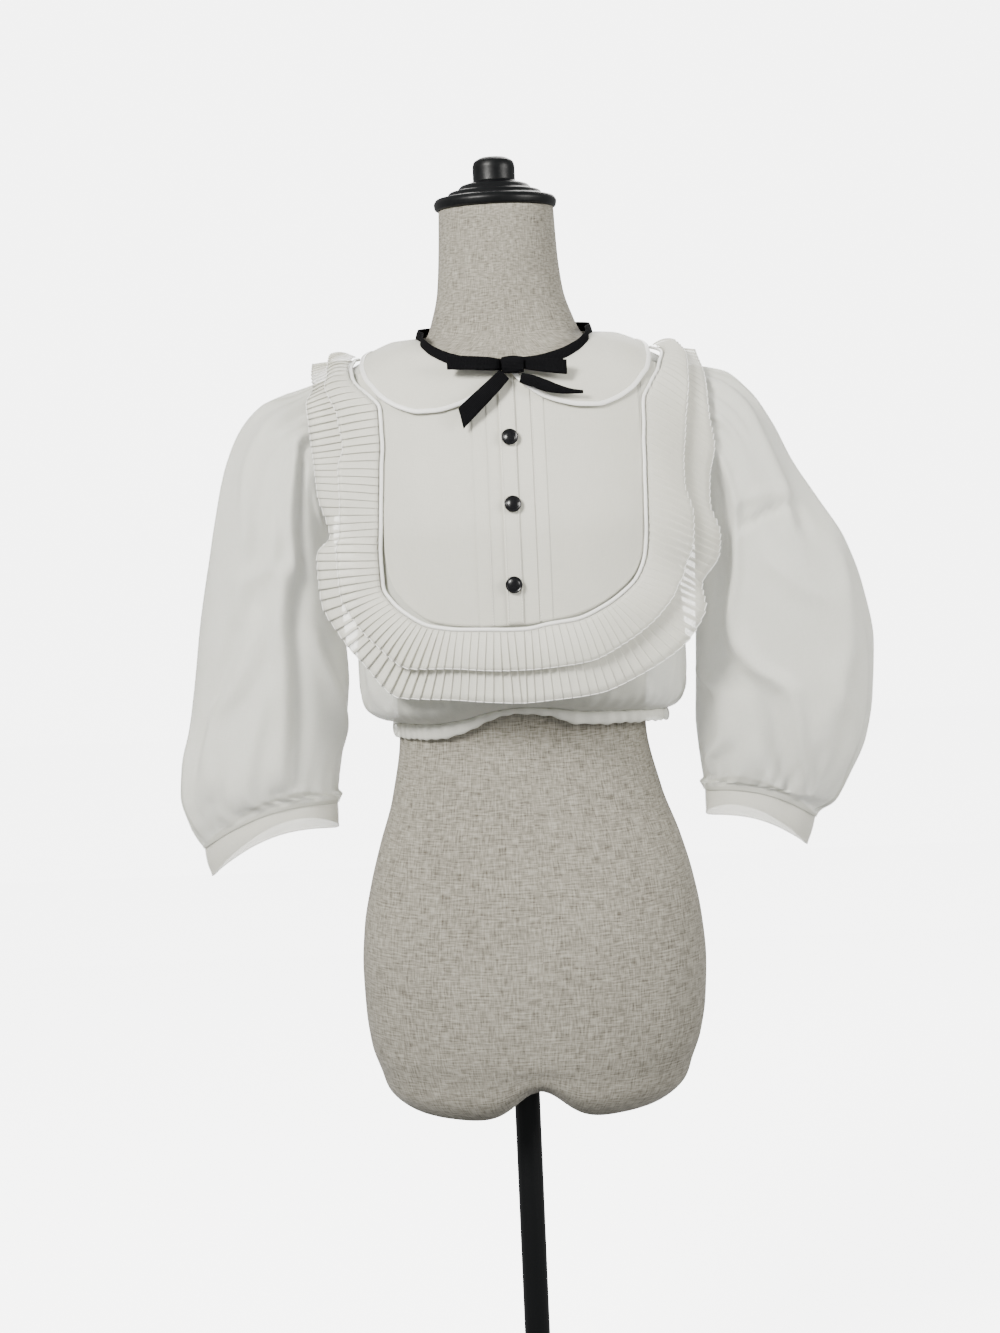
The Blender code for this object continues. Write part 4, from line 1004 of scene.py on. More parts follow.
def pleat_tree():
    """Moves the points of a smooth strip into knife pleats. A point's place along the strip gives
    its place in its pleat, and two curves say how far it shifts along the strip and stands off it."""
    tree = bpy.data.node_groups.new("knife_pleats", "GeometryNodeTree")
    face = tree.interface
    face.new_socket("Strip", in_out="INPUT", socket_type="NodeSocketGeometry")
    for label, usual in (("Fold Back", 1.0), ("Depth At Seam", 0.0006), ("Depth At Edge", 0.0016)):
        face.new_socket(label, in_out="INPUT", socket_type="NodeSocketFloat").default_value = usual
    face.new_socket("Cloth", in_out="INPUT", socket_type="NodeSocketMaterial")
    face.new_socket("Ruffle", in_out="OUTPUT", socket_type="NodeSocketGeometry")
    nodes, link = tree.nodes, tree.links.new
    given = nodes.new("NodeGroupInput")

    def stored(label, kind):
        node = nodes.new("GeometryNodeInputNamedAttribute")
        node.data_type = kind
        node.inputs["Name"].default_value = label
        return node.outputs["Attribute"]

    def maths(operation, first, second):
        node = nodes.new("ShaderNodeMath")
        node.operation = operation
        for i, term in enumerate((first, second)):
            if isinstance(term, (int, float)):
                node.inputs[i].default_value = term
            elif term is not None:
                link(term, node.inputs[i])
        return node.outputs[0]

    def profile(amount, stops):
        node = nodes.new("ShaderNodeFloatCurve")
        line = node.mapping.curves[0]
        line.points[0].location = stops[0]
        line.points[1].location = stops[-1]
        for stop in stops[1:-1]:
            line.points.new(*stop)
        node.mapping.update()
        link(amount, node.inputs["Value"])
        return node.outputs[0]

    def scaled(vector, amount):
        node = nodes.new("ShaderNodeVectorMath")
        node.operation = "SCALE"
        link(vector, node.inputs[0])
        link(amount, node.inputs["Scale"])
        return node.outputs[0]

    phase = maths("FRACT", maths("ADD", stored("pleat_count", "FLOAT"), 0.0001), None)
    shift = profile(phase, ((0.0, 0.0), (0.28, 0.46), (0.52, 0.95), (0.60, 1.0), (0.68, 0.86),
                            (0.80, 0.62), (0.88, 0.64), (1.0, 1.0)))
    height = profile(phase, ((0.0, 0.28), (0.28, 0.62), (0.50, 0.96), (0.60, 0.90), (0.68, 0.62),
                             (0.80, 0.22), (0.88, 0.10), (1.0, 0.28)))
    slide = maths("MULTIPLY", maths("SUBTRACT", shift, phase), given.outputs["Fold Back"])
    slide = maths("MULTIPLY", slide, stored("pitch", "FLOAT"))
    across = stored("across", "FLOAT")
    deeper = maths("SUBTRACT", given.outputs["Depth At Edge"], given.outputs["Depth At Seam"])
    depth = maths("ADD", given.outputs["Depth At Seam"], maths("MULTIPLY", deeper, across))
    stand = maths("MULTIPLY", maths("SUBTRACT", height, 0.5), maths("MULTIPLY", depth, 2.0))
    stand = maths("MULTIPLY", stand, stored("open", "FLOAT"))
    moved = nodes.new("ShaderNodeVectorMath")
    link(scaled(stored("along", "FLOAT_VECTOR"), slide), moved.inputs[0])
    link(scaled(stored("facing", "FLOAT_VECTOR"), stand), moved.inputs[1])
    place = nodes.new("GeometryNodeSetPosition")
    link(given.outputs["Strip"], place.inputs["Geometry"])
    link(moved.outputs[0], place.inputs["Offset"])
    real = nodes.new("GeometryNodeRealizeInstances")
    link(place.outputs[0], real.inputs[0])
    paint = nodes.new("GeometryNodeSetMaterial")
    link(real.outputs[0], paint.inputs["Geometry"])
    link(given.outputs["Cloth"], paint.inputs["Material"])
    result = nodes.new("NodeGroupOutput")
    link(paint.outputs[0], result.inputs[0])
    return tree


knife_pleats = pleat_tree()
organza_pleated = sheer_finish("organza_pleated", 0.56, (0.76, 0.75, 0.66), (0.93, 0.915, 0.82))


def strip_places(steps=8):
    """Places along the seam, evenly spaced on the ruffles' middle line."""
    marks = [i / float(steps) for i in range((len(RUFFLES) - 1) * steps + 1)]
    middles = []
    for mark in marks:
        seam, edge, share = ruffle_station(mark)
        middles.append(seam * 0.6 + edge * 0.4)
    lengths = [0.0]
    for last, middle in zip(middles, middles[1:]):
        lengths.append(lengths[-1] + (middle - last).length)
    length = lengths[-1]
    count = RUFFLE_PLEATS * COLUMNS_A_PLEAT
    return [smooth(lengths, marks, length * i / count) for i in range(count + 1)]


ruffle_places = strip_places()
ruffle_frames = [ruffle_frame(place) for place in ruffle_places]


def pleated_ruffle(name, upper, node):
    columns = len(ruffle_places)
    grid = [[] for r in range(RUFFLE_ROWS)]
    facing, along_strip = [], []
    for i, (seam, edge, share, outward, normal, along) in enumerate(ruffle_frames):
        start = seam + outward * RUFFLE_SEAM_STEP
        sway = math.sin(i * 0.021) + 0.6 * math.sin(i * 0.0537 + 1.0)
        if upper:
            start = start + normal * 1.6
            end = seam + outward * RUFFLE_SEAM_STEP + (edge - seam) * share
            end += normal * (RUFFLE_LIFT + 1.2 * sway)
            bow = 2.6 + 0.7 * sway
        else:
            start = start - normal * 1.6
            end = edge + normal * (1.3 * sway)
            bow = 0.4 + 0.7 * sway
        for r in range(RUFFLE_ROWS):
            t = r / (RUFFLE_ROWS - 1.0)
            grid[r].append(start.lerp(end, t) + normal * (4.0 * bow * t * (1 - t)))
        facing.append(normal)
        along_strip.append(along)
    piece = cloth_grid(name, grid, [Vector((0, 160, 990))] * RUFFLE_ROWS)
    mesh = piece.data

    def store(label, kind, key, amounts):
        mesh.attributes.new(label, kind, "POINT").data.foreach_set(key, amounts)

    store("pleat_count", "FLOAT", "value",
          [i / float(COLUMNS_A_PLEAT) for r in range(RUFFLE_ROWS) for i in range(columns)])
    store("across", "FLOAT", "value",
          [r / (RUFFLE_ROWS - 1.0) for r in range(RUFFLE_ROWS) for i in range(columns)])
    step = COLUMNS_A_PLEAT
    store("pitch", "FLOAT", "value",
          [(grid[r][min(i + step // 2, columns - 1)] - grid[r][max(i - step // 2, 0)]).length * 0.001
           for r in range(RUFFLE_ROWS) for i in range(columns)])
    store("open", "FLOAT", "value",
          [1.0 + 0.35 * math.sin(i * 0.013 + r * 0.2) + 0.25 * math.sin(i * 0.0411)
           for r in range(RUFFLE_ROWS) for i in range(columns)])
    store("along", "FLOAT_VECTOR", "vector",
          [k for r in range(RUFFLE_ROWS) for i in range(columns) for k in along_strip[i]])
    store("facing", "FLOAT_VECTOR", "vector",
          [k for r in range(RUFFLE_ROWS) for i in range(columns) for k in facing[i]])
    rule = piece.modifiers.new("pleats", "NODES")
    rule.node_group = knife_pleats
    sockets = {s.name: s.identifier for s in knife_pleats.interface.items_tree if s.in_out == "INPUT"}
    rule[sockets["Fold Back"]] = 1.0
    rule[sockets["Depth At Seam"]] = 0.0005
    rule[sockets["Depth At Edge"]] = 0.0014
    rule[sockets["Cloth"]] = organza_pleated
    bpy.context.view_layer.update()
    plain = bpy.data.meshes.new_from_object(piece.evaluated_get(bpy.context.evaluated_depsgraph_get()))
    piece.modifiers.clear()
    piece.data = plain
    last_row = plain.vertices[(RUFFLE_ROWS - 1) * columns:]
    free_edge = [v.co.copy() * 1000.0 - Vector((BODY_X, 0, 0)) for v in last_row]
    thicken(piece, 0.3)
    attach(piece, "root")
    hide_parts(node)
    return piece, free_edge


def round_cord(name, points, radius, material, sides=8, flat=1.0, face=None):
    """A round or flattened cord along a path of points, closed at both ends."""
    count = len(points)
    rings = []
    for i, point in enumerate(points):
        along = (points[min(i + 1, count - 1)] - points[max(i - 1, 0)]).normalized()
        up = face[i] if face else Vector((0, -1, 0.2))
        side = along.cross(up).normalized()
        up = side.cross(along).normalized()
        rings.append([point + side * (radius * math.cos(math.tau * k / sides))
                      + up * (radius * flat * math.sin(math.tau * k / sides)) for k in range(sides)])
    first = [points[0].lerp(p, 0.4) for p in rings[0]]
    last = [points[-1].lerp(p, 0.4) for p in rings[-1]]
    rings = [first] + rings + [last]
    piece = cloth_grid(name, rings, [points[0]] + list(points) + [points[-1]], True)
    edit = bmesh.new()
    edit.from_mesh(piece.data)
    bmesh.ops.holes_fill(edit, edges=[e for e in edit.edges if e.is_boundary])
    edit.to_mesh(piece.data)
    edit.free()
    piece.data.materials.append(material)
    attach(piece, "root")
    return piece


ROLLED_HEM_RADIUS = 0.5
rolled_hem = thread_finish("rolled_hem", (0.74, 0.735, 0.70), (0.93, 0.925, 0.89))
for name, upper, node, cut_length, cut_width in (
        ("ruffle_lower_cloth", False, "ruffle_lower", 1.65, 0.072),
        ("ruffle_upper_cloth", True, "ruffle_upper", 1.65, 0.042)):
    ruffle_piece, free_edge = pleated_ruffle(name, upper, node)
    edge_cord = round_cord(node + "_hem", free_edge, ROLLED_HEM_RADIUS, rolled_hem, 5)

# The piping round the bib. A thin cord in a bias strip of white satin covers the seam where the
# bib and both ruffles meet, from one shoulder down and round to the other.
PIPING_RADIUS = 1.9
piping_points, piping_face = [], []
for i in range(0, len(ruffle_frames), 3):
    seam, edge, share, outward, normal, along = ruffle_frames[i]
    piping_points.append(seam - normal * 1.2 + outward * 0.2)
    piping_face.append(normal)
satin = Finish("white_satin", 0.38, Sheen_Weight=0.25, Specular_IOR_Level=0.5)
satin_place = satin.chart()
satin_weave = satin.speckle(satin_place, (700.0, 260.0, 1.0), 1.0, 2.0)
satin.colour((0.78, 0.775, 0.735), (0.93, 0.925, 0.89), satin_weave)
satin.relief(satin_weave, 0.00015)
bib_piping = round_cord("piping_cord", piping_points, PIPING_RADIUS, satin.material, 12, 0.8,
                        piping_face)
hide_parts("bib_piping")

# The collar. Two halves of doubled organza, cut round and flat, lie over the bodice from the centre
# front to the centre back; the seam turned inside makes a thick white rim along the outer edge.
COLLAR = (
    (0.6, 1.0, 1103.0),
    (2.5, 3.0, 1091.0),
    (6.0, 6.5, 1080.0),
    (10.0, 11.0, 1073.5),
    (14.5, 16.5, 1069.5),
    (19.5, 21.5, 1069.0),
    (25.0, 27.5, 1074.0),
    (31.0, 34.0, 1084.0),
    (38.0, 41.0, 1096.0),
    (48.0, 51.5, 1108.0),
    (64.0, 66.0, 1119.5),
    (90.0, 90.0, 1127.0),
    (104.0, 112.0, 1118.0),
    (116.0, 128.0, 1106.0),
    (128.0, 140.0, 1094.0),
    (141.0, 151.0, 1084.0),
    (154.0, 162.0, 1078.0),
    (167.0, 171.0, 1076.0),
    (179.7, 179.7, 1075.0),
)
COLLAR_OFFSET = 5.9
collar_ranks = list(range(len(COLLAR)))
organza_collar = sheer_finish("organza_collar", 0.60, (0.74, 0.73, 0.64), (0.91, 0.895, 0.80))


def neck_close(angle):
    """At the sides and back nothing lies under the collar's neck edge, so it sits closer there."""
    return smooth((0, 24, 52, 90, 180), (0.0, 0.6, 3.6, 4.2, 4.2), abs((angle + 180.0) % 360.0 - 180.0))


def collar_point(side, place, across, extra=0.0):
    neck_angle = smooth(collar_ranks, [row[0] for row in COLLAR], place)
    edge_angle = smooth(collar_ranks, [row[1] for row in COLLAR], place)
    edge_z = smooth(collar_ranks, [row[2] for row in COLLAR], place)
    start = neck_height(neck_angle) - 0.5
    angle = neck_angle + (edge_angle - neck_angle) * across
    z = start + (edge_z - start) * across
    bend = 4.0 * across * (1 - across) * 1.2
    ripple = 0.5 * across * math.sin(place * 1.7 + side)
    close = neck_close(neck_angle) * max(0.0, 1.0 - across / 0.45)
    return body_point(side * angle, z, COLLAR_OFFSET - close + bend + ripple + extra)


collar_places = [(len(COLLAR) - 1) * i / 220.0 for i in range(221)]
for side, label in ((-1, "left"), (1, "right")):
    grid = [[collar_point(side, place, r / 22.0) for place in collar_places] for r in range(23)]
    collar = cloth_grid("collar_%s_cloth" % label, grid, [Vector((0, 0, 1050))] * 23)
    thicken(collar, 0.6)
    collar.data.materials.append(organza_collar)
    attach(collar, "root")
    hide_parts("collar_" + label)
    rim_path, rim_face = [], []
    for place in collar_places:
        rim_path.append(collar_point(side, place, 0.965, 0.7))
        rim_face.append(collar_point(side, place, 0.965, 6.0) - collar_point(side, place, 0.965, 0.0))
    rim = round_cord("collar_%s_rim" % label, rim_path, 2.3, satin.material, 12, 0.42, rim_face)

# The neck's binding and the bow. Black grosgrain ribbon, 11 to 13 mm wide, with fine cross ribs,
# binds the neckline and is tied at the front in a small flat bow with two short tails.
RIB_PITCH = 0.0013
grosgrain = Finish("grosgrain", 0.85, Specular_IOR_Level=0.06)
ribbon_place = grosgrain.chart()
ribbon_length = grosgrain.node("ShaderNodeSeparateXYZ", {}, {"Vector": ribbon_place})
rib_wave_and_groove_shade = (ribbon_length * (math.tau / RIB_PITCH)).wave() * 0.5 + 0.5
ribbon_dust = grosgrain.speckle(ribbon_place, (60.0, 60.0, 1.0), 1.0, 2.0)
# The rib wave also darkens the colour in the grooves between the ribs: this is painted shade, added on
# top of the ribs' relief. The dust is random tone.
grosgrain.colour((0.0015, 0.0015, 0.0018), (0.006, 0.006, 0.007), rib_wave_and_groove_shade * 0.45 + ribbon_dust * 0.5)
grosgrain.relief(rib_wave_and_groove_shade, 0.00025)

BINDING_WIDE = 11.0
BINDING_ROWS = 9
binding_grid = []
for r in range(BINDING_ROWS):
    t = r / (BINDING_ROWS - 1.0)
    line = []
    for degrees in range(360):
        bare = body_bare(degrees, neck_height(degrees))
        outward = Vector((bare.x, bare.y, 0)).normalized()
        off = COLLAR_OFFSET + 2.2 - neck_close(degrees) * 1.15 - 2.6 * t + 0.8 * math.sin(math.pi * t)
        line.append(bare + outward * off + Vector((0, 0, -1.5 + BINDING_WIDE * t)))
    binding_grid.append(line)
binding_core = [Vector((0, 0, 1120))] * BINDING_ROWS
neck_binding = cloth_grid("neck_binding_ribbon", binding_grid, binding_core, True)
thicken(neck_binding, 1.2)
neck_binding.data.materials.append(grosgrain.material)
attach(neck_binding, "root")
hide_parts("neck_binding")

LOOP_LEFT = (
    (-5, -99.5, 1112.5, 9.0),
    (-16, -104.0, 1113.5, 11.5),
    (-32, -105.0, 1114.5, 12.5),
    (-47, -103.5, 1115.5, 13.0),
    (-53.5, -100.5, 1116.0, 13.0),
    (-52, -97.0, 1116.0, 13.0),
    (-40, -96.0, 1115.5, 12.5),
    (-25, -97.0, 1114.5, 12.0),
    (-12, -97.5, 1113.5, 11.0),
    (-5, -96.5, 1112.5, 9.0),
)
LOOP_RIGHT = (
    (17, -101.0, 1111.5, 9.0),
    (27, -105.5, 1110.5, 11.5),
    (38, -106.5, 1109.5, 12.5),
    (49, -105.5, 1108.0, 13.0),
    (55, -102.5, 1107.5, 13.0),
    (53.5, -99.0, 1107.5, 13.0),
    (44, -98.0, 1108.5, 12.5),
    (33, -98.5, 1110.0, 12.0),
    (24, -99.0, 1111.0, 11.0),
    (17, -98.0, 1111.5, 9.0),
)
TAIL_LEFT = (
    (-2, -101.0, 1103.0, 12.0),
    (-10, -107.0, 1095.0, 13.5),
    (-22, -111.0, 1084.0, 15.0),
    (-33, -113.5, 1074.0, 16.0),
    (-43, -115.0, 1064.5, 16.5),
)
TAIL_RIGHT = (
    (13, -101.0, 1099.3, 9.0),
    (23, -106.0, 1096.0, 10.5),
    (34, -108.5, 1091.5, 10.5),
    (46, -109.0, 1087.5, 8.0),
    (58, -108.5, 1085.0, 4.5),
    (69, -108.0, 1084.0, 2.6),
)


def ribbon(name, table, upright, node, slant=0.0, cup=0.0):
    """A flat ribbon along its table's middle line, with a slanted end and a shallow cup across it."""
    ranks = list(range(len(table)))
    steps = 60

    def at(column, i):
        return smooth(ranks, [row[column] for row in table], ranks[-1] * i / steps)

    middles = [Vector((at(0, i), at(1, i), at(2, i))) for i in range(steps + 1)]
    grid = [[] for k in range(9)]
    for i in range(steps + 1):
        along = (middles[min(i + 1, steps)] - middles[max(i - 1, 0)]).normalized()
        across = Vector((0, 0, 1)) if upright else Vector((-along.z, 0, along.x)).normalized()
        wide = at(3, i)
        for k in range(9):
            t = k / 4.0 - 1.0
            spot = middles[i] + across * (wide / 2 * t) + along.cross(across) * (cup * (1 - t * t))
            spot += along * (slant * t * max(0.0, (i - steps * 0.7) / (steps * 0.3)))
            grid[k].append(spot)
    piece = cloth_grid(name, grid, [Vector((0, 0, 1095))] * 9)
    thicken(piece, 0.7)
    piece.data.materials.append(grosgrain.material)
    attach(piece, "root")
    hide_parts(node)
    return piece


ribbon("bow_loop_left_ribbon", LOOP_LEFT, True, "bow_loop_left")
ribbon("bow_loop_right_ribbon", LOOP_RIGHT, True, "bow_loop_right")
ribbon("bow_tail_left_ribbon", TAIL_LEFT, False, "bow_tail_left", 5.0, 0.8)
ribbon("bow_tail_right_ribbon", TAIL_RIGHT, False, "bow_tail_right", 0.0, 0.9)

# The knot is the ribbon drawn once round the loops, so it is a soft band that swells in its middle.
KNOT_MIDDLE = Vector((6.0, -99.3, 1111.5))
KNOT_HALF_WIDE = 10.0
KNOT_HALF_DEEP = 5.4
KNOT_HALF_HIGH = 7.6
KNOT_TURNS = 40
KNOT_LINES = 20
KNOT_SQUARE = 0.7
knot_grid = []
for r in range(KNOT_LINES + 1):
    t = 2.0 * r / KNOT_LINES - 1.0
    half_deep = KNOT_HALF_DEEP - 0.9 * t * t
    half_high = KNOT_HALF_HIGH - 1.1 * t * t
    ring = []
    for k in range(KNOT_TURNS):
        turn = math.tau * k / KNOT_TURNS
        c = math.cos(turn)
        s = math.sin(turn)
        crinkle = 0.25 * math.sin(5 * turn + 2.0 * t)
        y = (half_deep + crinkle) * math.copysign(abs(c) ** KNOT_SQUARE, c)
        z = (half_high + crinkle) * math.copysign(abs(s) ** KNOT_SQUARE, s)
        ring.append(KNOT_MIDDLE + Vector((KNOT_HALF_WIDE * t, y, z)))
    knot_grid.append(ring)
knot_cores = [sum(ring, Vector()) / len(ring) for ring in knot_grid]
bow_knot = cloth_grid("bow_knot_ribbon", knot_grid, knot_cores, True)
thicken(bow_knot, 0.7)
bow_knot.data.materials.append(grosgrain.material)
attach(bow_knot, "root")
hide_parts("bow_knot")

# The sleeves. One layer of organza each, cut very full, gathered into the armhole at the head and
# into the cuff below; they hang empty, so the cloth falls in a few long folds and soft dents.
SLEEVE_LEFT = (
    (-203, 1096, -170, 978, 57, -1, 0),
    (-228, 1088, -172, 958, 61, -2, 0),
    (-251, 1065, -170, 932, 64, -3, 0),
    (-268, 1030, -168, 905, 66, -4, 0),
    (-281, 983, -166, 878, 67, -5, 0),
    (-293, 932, -164, 852, 67, -6, 0),
    (-303, 880, -163, 826, 67, -6, 0),
    (-310, 832, -165, 802, 66, -6, 0),
    (-318, 785, -169, 775, 65, -6, 0),
    (-327, 746, -174, 748, 63, -6, 0),
    (-330, 716, -178, 728, 59, -6, 4),
    (-323, 690, -180, 716, 54, -6, 10),
)
SLEEVE_RIGHT = (
    (206, 1099, 173, 978, 57, -1, 0),
    (232, 1077, 175, 958, 62, -2, 0),
    (250, 1048, 175, 932, 66, -3, 0),
    (267, 1012, 174, 905, 69, -5, 0),
    (291, 975, 173, 878, 71, -7, 0),
    (316, 938, 172, 852, 73, -9, 0),
    (333, 890, 171, 824, 74, -10, 0),
    (342, 838, 170, 798, 74, -10, 0),
    (340, 788, 169, 772, 72, -9, 0),
    (332, 746, 171, 746, 67, -8, 0),
    (316, 712, 174, 724, 60, -7, 4),
    (299, 684, 176, 712, 52, -6, 8),
)
CUFF_LEFT = (
    (-309, 667, -181, 707, 44, -6, 16),
    (-307, 652, -181, 694, 44, -6, 17),
    (-303, 637, -181, 680, 43, -6, 19),
)
CUFF_RIGHT = (
    (280, 672, 177, 704, 42, -6, 14),
    (276, 658, 177, 691, 42, -6, 14),
    (271, 643, 177, 677, 41, -6, 14),
)
# Folds: the rows and angles that each runs through, how far it stands out, and its width in degrees.
# An angle on a sleeve is 0 at its outer side, 90 in front, 180 at its inner side and -90 behind.
FOLDS_LEFT = (
    (((0.2, 74), (1.2, 92), (2.5, 100), (3.3, 106), (4.0, 98), (5.0, 97), (6.0, 101), (9.5, 108)),
     7.5, 7.0),
    (((0.2, 84), (1.2, 103), (2.5, 112), (3.5, 117), (5.0, 112), (7.0, 116), (9.5, 122)), -5.5, 8.0),
    (((3.0, 88), (3.8, 86), (4.8, 64)), 5.0, 8.0),
    (((5.7, 78), (7.0, 66), (7.8, 50), (9.4, 55)), 6.0, 9.0),
    (((6.2, 62), (7.4, 48), (8.5, 36)), -4.5, 10.0),
    (((5.2, 128), (6.8, 152), (8.0, 172)), 5.0, 9.0),
    (((0.8, 46), (2.5, 48), (3.6, 60)), 4.0, 8.0),
    (((0.6, 20), (2.2, 10), (4.0, 18)), 3.6, 9.0),
    (((1.5, 66), (3.0, 70), (5.5, 74)), -4.0, 9.0),
    (((0.4, 118), (1.6, 150), (3.5, 152)), 3.6, 9.0),
    (((7.0, 92), (8.6, 84), (10.6, 80)), 3.6, 8.0),
    (((8.6, 20), (10.2, 26), (11.5, 34)), 3.2, 9.0),
    (((0.6, -70), (3.0, -66), (8.0, -60)), 6.5, 10.0),
    (((1.0, -112), (4.0, -118), (9.0, -106)), 6.5, 10.0),
    (((3.0, -30), (5.5, -38), (8.0, -34)), 4.0, 10.0),
    (((5.0, -88), (7.5, -92), (10.5, -86)), -5.0, 11.0),
    (((6.0, -140), (8.0, -150), (10.0, -148)), 4.0, 9.0),
)
FOLDS_RIGHT = (
    (((0.5, 98), (2.0, 100), (3.5, 111), (5.2, 127), (6.5, 115), (7.5, 93), (9.0, 85), (11.0, 66)),
     8.5, 6.0),
    (((0.6, 112), (2.0, 115), (3.6, 127), (5.2, 142), (6.6, 131), (7.7, 108), (9.2, 98), (10.8, 80)),
     -8.0, 9.0),
    (((2.9, 99), (3.2, 74), (3.6, 50)), -7.5, 7.0),
    (((2.3, 92), (2.7, 74), (3.1, 56)), 4.0, 7.0),
    (((0.8, 44), (1.8, 47), (3.0, 48), (4.0, 64)), 5.0, 8.0),
    (((6.2, 166), (7.2, 141), (8.5, 137), (9.6, 158)), 5.5, 8.0),
    (((4.2, 88), (5.2, 76), (5.9, 58)), 4.2, 8.0),
    (((5.2, 38), (6.8, 52), (8.3, 66)), 4.5, 9.0),
    (((7.5, 66), (8.8, 44), (10.4, 34)), 4.0, 9.0),
    (((0.8, 116), (3.0, 134), (5.2, 150)), 4.0, 8.0),
    (((0.6, 16), (2.6, 12), (4.6, 20)), 3.6, 9.0),
    (((6.4, 22), (8.0, 16), (9.6, 22)), -3.6, 10.0),
    (((9.2, 118), (10.2, 122), (11.4, 126)), 3.0, 8.0),
    (((0.6, -72), (3.0, -66), (8.0, -62)), 7.0, 10.0),
    (((2.0, -120), (5.0, -116), (11.0, -108)), 6.5, 10.0),
    (((3.4, -30), (5.8, -40), (8.4, -36)), 4.4, 10.0),
    (((5.0, -90), (7.6, -94), (10.4, -88)), -5.5, 11.0),
    (((6.0, -142), (8.2, -150), (10.0, -146)), 4.0, 9.0),
)
SLEEVE_TURNS = 190
SLEEVE_LINES = 118
# How many small gathers, and how many slack waves among them, go once round a sleeve.
HEAD_GATHERS = 21
HEAD_WAVES = 11
CUFF_GATHERS = 26
CUFF_WAVES = 12


@lru_cache(maxsize=None)
def ring_sizes(table, place):
    ranks = list(range(len(table)))
    return [smooth(ranks, [row[k] for row in table], place) for k in range(7)]


def ring_point(table, place, angle):
    outer_x, outer_z, inner_x, inner_z, deep, mid_y, arch = ring_sizes(table, place)
    c = math.cos(math.radians(angle))
    s = math.sin(math.radians(angle))
    x = (outer_x + inner_x) / 2 + (outer_x - inner_x) / 2 * c
    z = (outer_z + inner_z) / 2 + (outer_z - inner_z) / 2 * c + arch * s * s
    return Vector((x, mid_y - deep * s, z))


def armhole_point(side, angle, spread, out):
    c = math.cos(math.radians(angle))
    s = math.sin(math.radians(angle))
    middle = (ARMHOLE_Z[0] + ARMHOLE_Z[-1]) / 2
    half = (ARMHOLE_Z[-1] - ARMHOLE_Z[0]) / 2
    edge = smooth(ARMHOLE_Z, ARMHOLE_ANGLE, middle + half * c) - spread * abs(s)
    z = middle + (half + spread * 1.6) * c
    turn = edge if s >= 0 else 180.0 - edge
    return body_point(side * turn, z, out)


def fold_stand(folds, place, angle):
    """How far the folds together lift the cloth at a row and an angle."""
    total = 0.0
    for path, high, wide in folds:
        first, last = path[0][0], path[-1][0]
        ends = min(max((place - first + 0.7) / 1.2, 0.0), 1.0)
        ends *= min(max((last + 0.9 - place) / 1.5, 0.0), 1.0)
        if ends > 0:
            middle = smooth([p[0] for p in path], [p[1] for p in path], place)
            away = ((angle - middle + 180.0) % 360.0 - 180.0) / wide
            if abs(away) < 3.2:
                total += high * math.exp(-away * away) * ends * (2 - ends)
    return total


def head_gathers(angle, place):
    """Sharp small pleats where the sleeve's head is drawn into the armhole, fading down the sleeve."""
    around = math.radians(angle)
    top = max(0.0, math.cos(math.radians(angle * 0.62)))
    fade = max(0.0, 1.0 - abs(place - 0.15) / 1.9)
    gather = math.sin(around * HEAD_GATHERS + 1.3 * math.sin(around * 5))
    wave = math.sin(around * HEAD_WAVES + 0.8)
    return (1.9 * gather + 1.3 * wave) * top * fade ** 1.4


def cuff_gathers(angle, place, last):
    """The gathers where the sleeve is drawn into its cuff, fading up the sleeve."""
    around = math.radians(angle)
    fade = max(0.0, 1.0 - (last - place) / 3.2) ** 1.5
    gather = math.sin(around * CUFF_GATHERS + 1.1 * math.sin(around * 4))
    wave = math.sin(around * CUFF_WAVES + 2.1)
    return (1.2 * gather + 1.1 * wave) * fade


def sleeve_cloth(label, side, table, cuff, folds):
    angles = [i * 360.0 / SLEEVE_TURNS for i in range(SLEEVE_TURNS)]
    rings = [[armhole_point(side, a, 2.4, CLOTH_MID + 1.0) for a in angles],
             [armhole_point(side, a, 0.5, 3.4) for a in angles]]
    rings += [[ring_point(table, float(place), a) for a in angles] for place in range(len(table))]
    cuff_middle = (ring_point(cuff, 0.0, 0) + ring_point(cuff, 0.0, 180)) / 2
    for rise, out in ((4.0, 5.0), (-3.0, 2.6)):
        ring = []
        for a in angles:
            spot = ring_point(cuff, 0.0, a)
            level = spot - cuff_middle
            level.z = 0
            up = (spot - ring_point(cuff, 1.0, a)).normalized()
            ring.append(spot + up * rise + level.normalized() * out)
        rings.append(ring)
    ranks = list(range(len(rings)))
    columns = [[[ring[i][k] for ring in rings] for k in range(3)] for i in range(SLEEVE_TURNS)]
    last = len(table) - 1.0
    grid, core = [], []
    for r in range(SLEEVE_LINES + 1):
        place = (len(rings) - 1.0) * r / SLEEVE_LINES
        line = [Vector([smooth(ranks, numbers, place) for numbers in column]) for column in columns]
        middle = sum(line, Vector()) / SLEEVE_TURNS
        row = place - 2.0
        free = min(max((place - 0.3) / 1.2, 0.0), 1.0)
        free *= min(max((len(rings) - 1.5 - place) / 1.2, 0.0), 1.0)
        for i, a in enumerate(angles):
            signed = (a + 180.0) % 360.0 - 180.0
            stand = fold_stand(folds, row, a) + head_gathers(signed, row)
            stand += cuff_gathers(signed, row, last)
            line[i] = line[i] + (line[i] - middle).normalized() * (stand * free)
        grid.append(line)
        core.append(middle)
    sleeve = cloth_grid("sleeve_%s_cloth" % label, grid, core, True)
    thicken(sleeve, SHEER_THICK)
    sleeve.data.materials.append(organza)
    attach(sleeve, "root")
    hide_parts("sleeve_" + label)
    return sleeve


sleeve_cloth("left", -1, SLEEVE_LEFT, CUFF_LEFT, FOLDS_LEFT)
sleeve_cloth("right", 1, SLEEVE_RIGHT, CUFF_RIGHT, FOLDS_RIGHT)

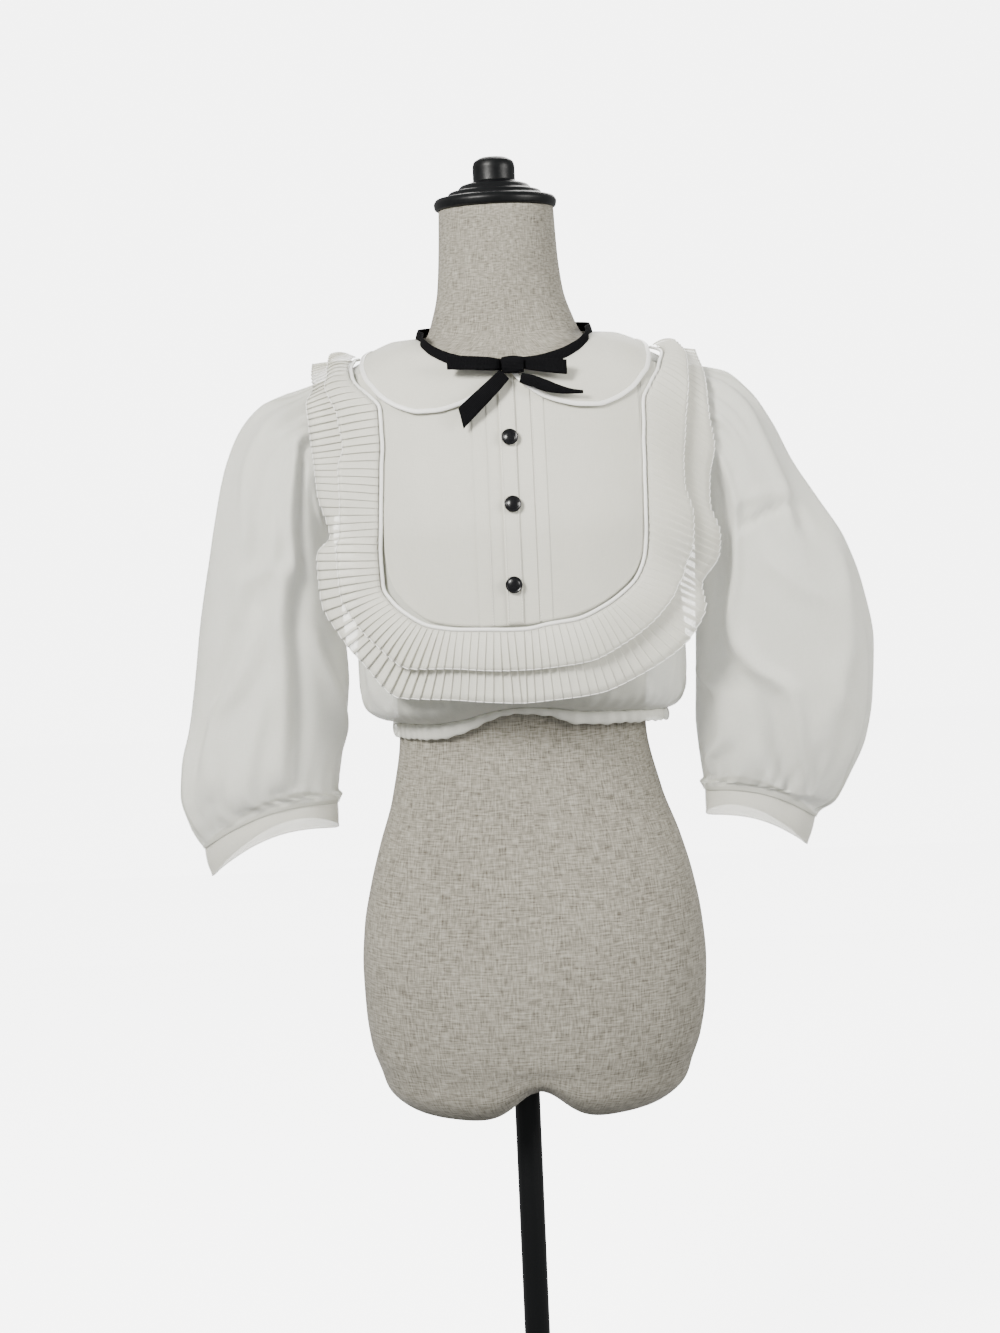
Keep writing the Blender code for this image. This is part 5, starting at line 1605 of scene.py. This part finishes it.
# The armhole seams. The seam's narrow turnings, bound together, show through the sheer cloth as a
# whiter band just inside the armhole's edge, with a row of stitches along it.
TURNING_START = 2.0
TURNING_WIDE = 2.6
TURNING_OUT = 2.2
armhole_angles = [i * 3.0 for i in range(121)]
for side, label in ((-1, "left"), (1, "right")):
    grid = []
    for r in range(6):
        spread = TURNING_START + TURNING_WIDE * r / 5.0
        grid.append([armhole_point(side, a, spread, TURNING_OUT) for a in armhole_angles[:-1]])
    seam_band = cloth_grid("armhole_%s_turning" % label, grid, [Vector((side * 60, 0, 1045))] * 6, True)
    thicken(seam_band, 0.4)
    seam_band.data.materials.append(organza_tuck)
    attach(seam_band, "root")
    row = [armhole_point(side, a, TURNING_START + 0.6, TURNING_OUT + 0.5) for a in armhole_angles]
    stitched("armhole_%s_stitches" % label, [row], FINE_THREAD_RADIUS)

# The cuffs. A straight band of doubled organza, sewn to the gathered sleeve and folded at its lower
# edge, with a row of stitches just below the seam and another just above the fold.
organza_cuff = sheer_finish("organza_cuff", 0.66, (0.62, 0.61, 0.53), (0.82, 0.81, 0.72))
CUFF_ROWS = 16
for label, table in (("left", CUFF_LEFT), ("right", CUFF_RIGHT)):
    angles = [i * 360.0 / SLEEVE_TURNS for i in range(SLEEVE_TURNS)]
    grid, core, rows = [], [], []
    for r in range(CUFF_ROWS + 1):
        place = 2.0 * r / CUFF_ROWS
        middle = (ring_point(table, place, 0) + ring_point(table, place, 180)) / 2
        swell = 0.9 + 0.5 * math.sin(math.pi * r / CUFF_ROWS) + (0.5 if r in (0, CUFF_ROWS) else 0.0)
        line = []
        for a in angles:
            spot = ring_point(table, place, a)
            level = spot - middle
            level.z = 0
            soft = 0.35 * math.sin(math.radians(a) * 9 + r * 0.1)
            line.append(spot + level.normalized() * (swell + soft))
        grid.append(line)
        core.append(middle)
    cuff = cloth_grid("cuff_%s_cloth" % label, grid, core, True)
    thicken(cuff, 0.9)
    cuff.data.materials.append(organza_cuff)
    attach(cuff, "root")
    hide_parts("cuff_" + label)
    for r in (1, CUFF_ROWS - 1):
        middle = core[r]
        row = [p + Vector((p.x - middle.x, p.y - middle.y, 0)).normalized() * 0.55 for p in grid[r]]
        rows.append(row + [row[0]])
    stitched("cuff_%s_stitches" % label, rows, FINE_THREAD_RADIUS)
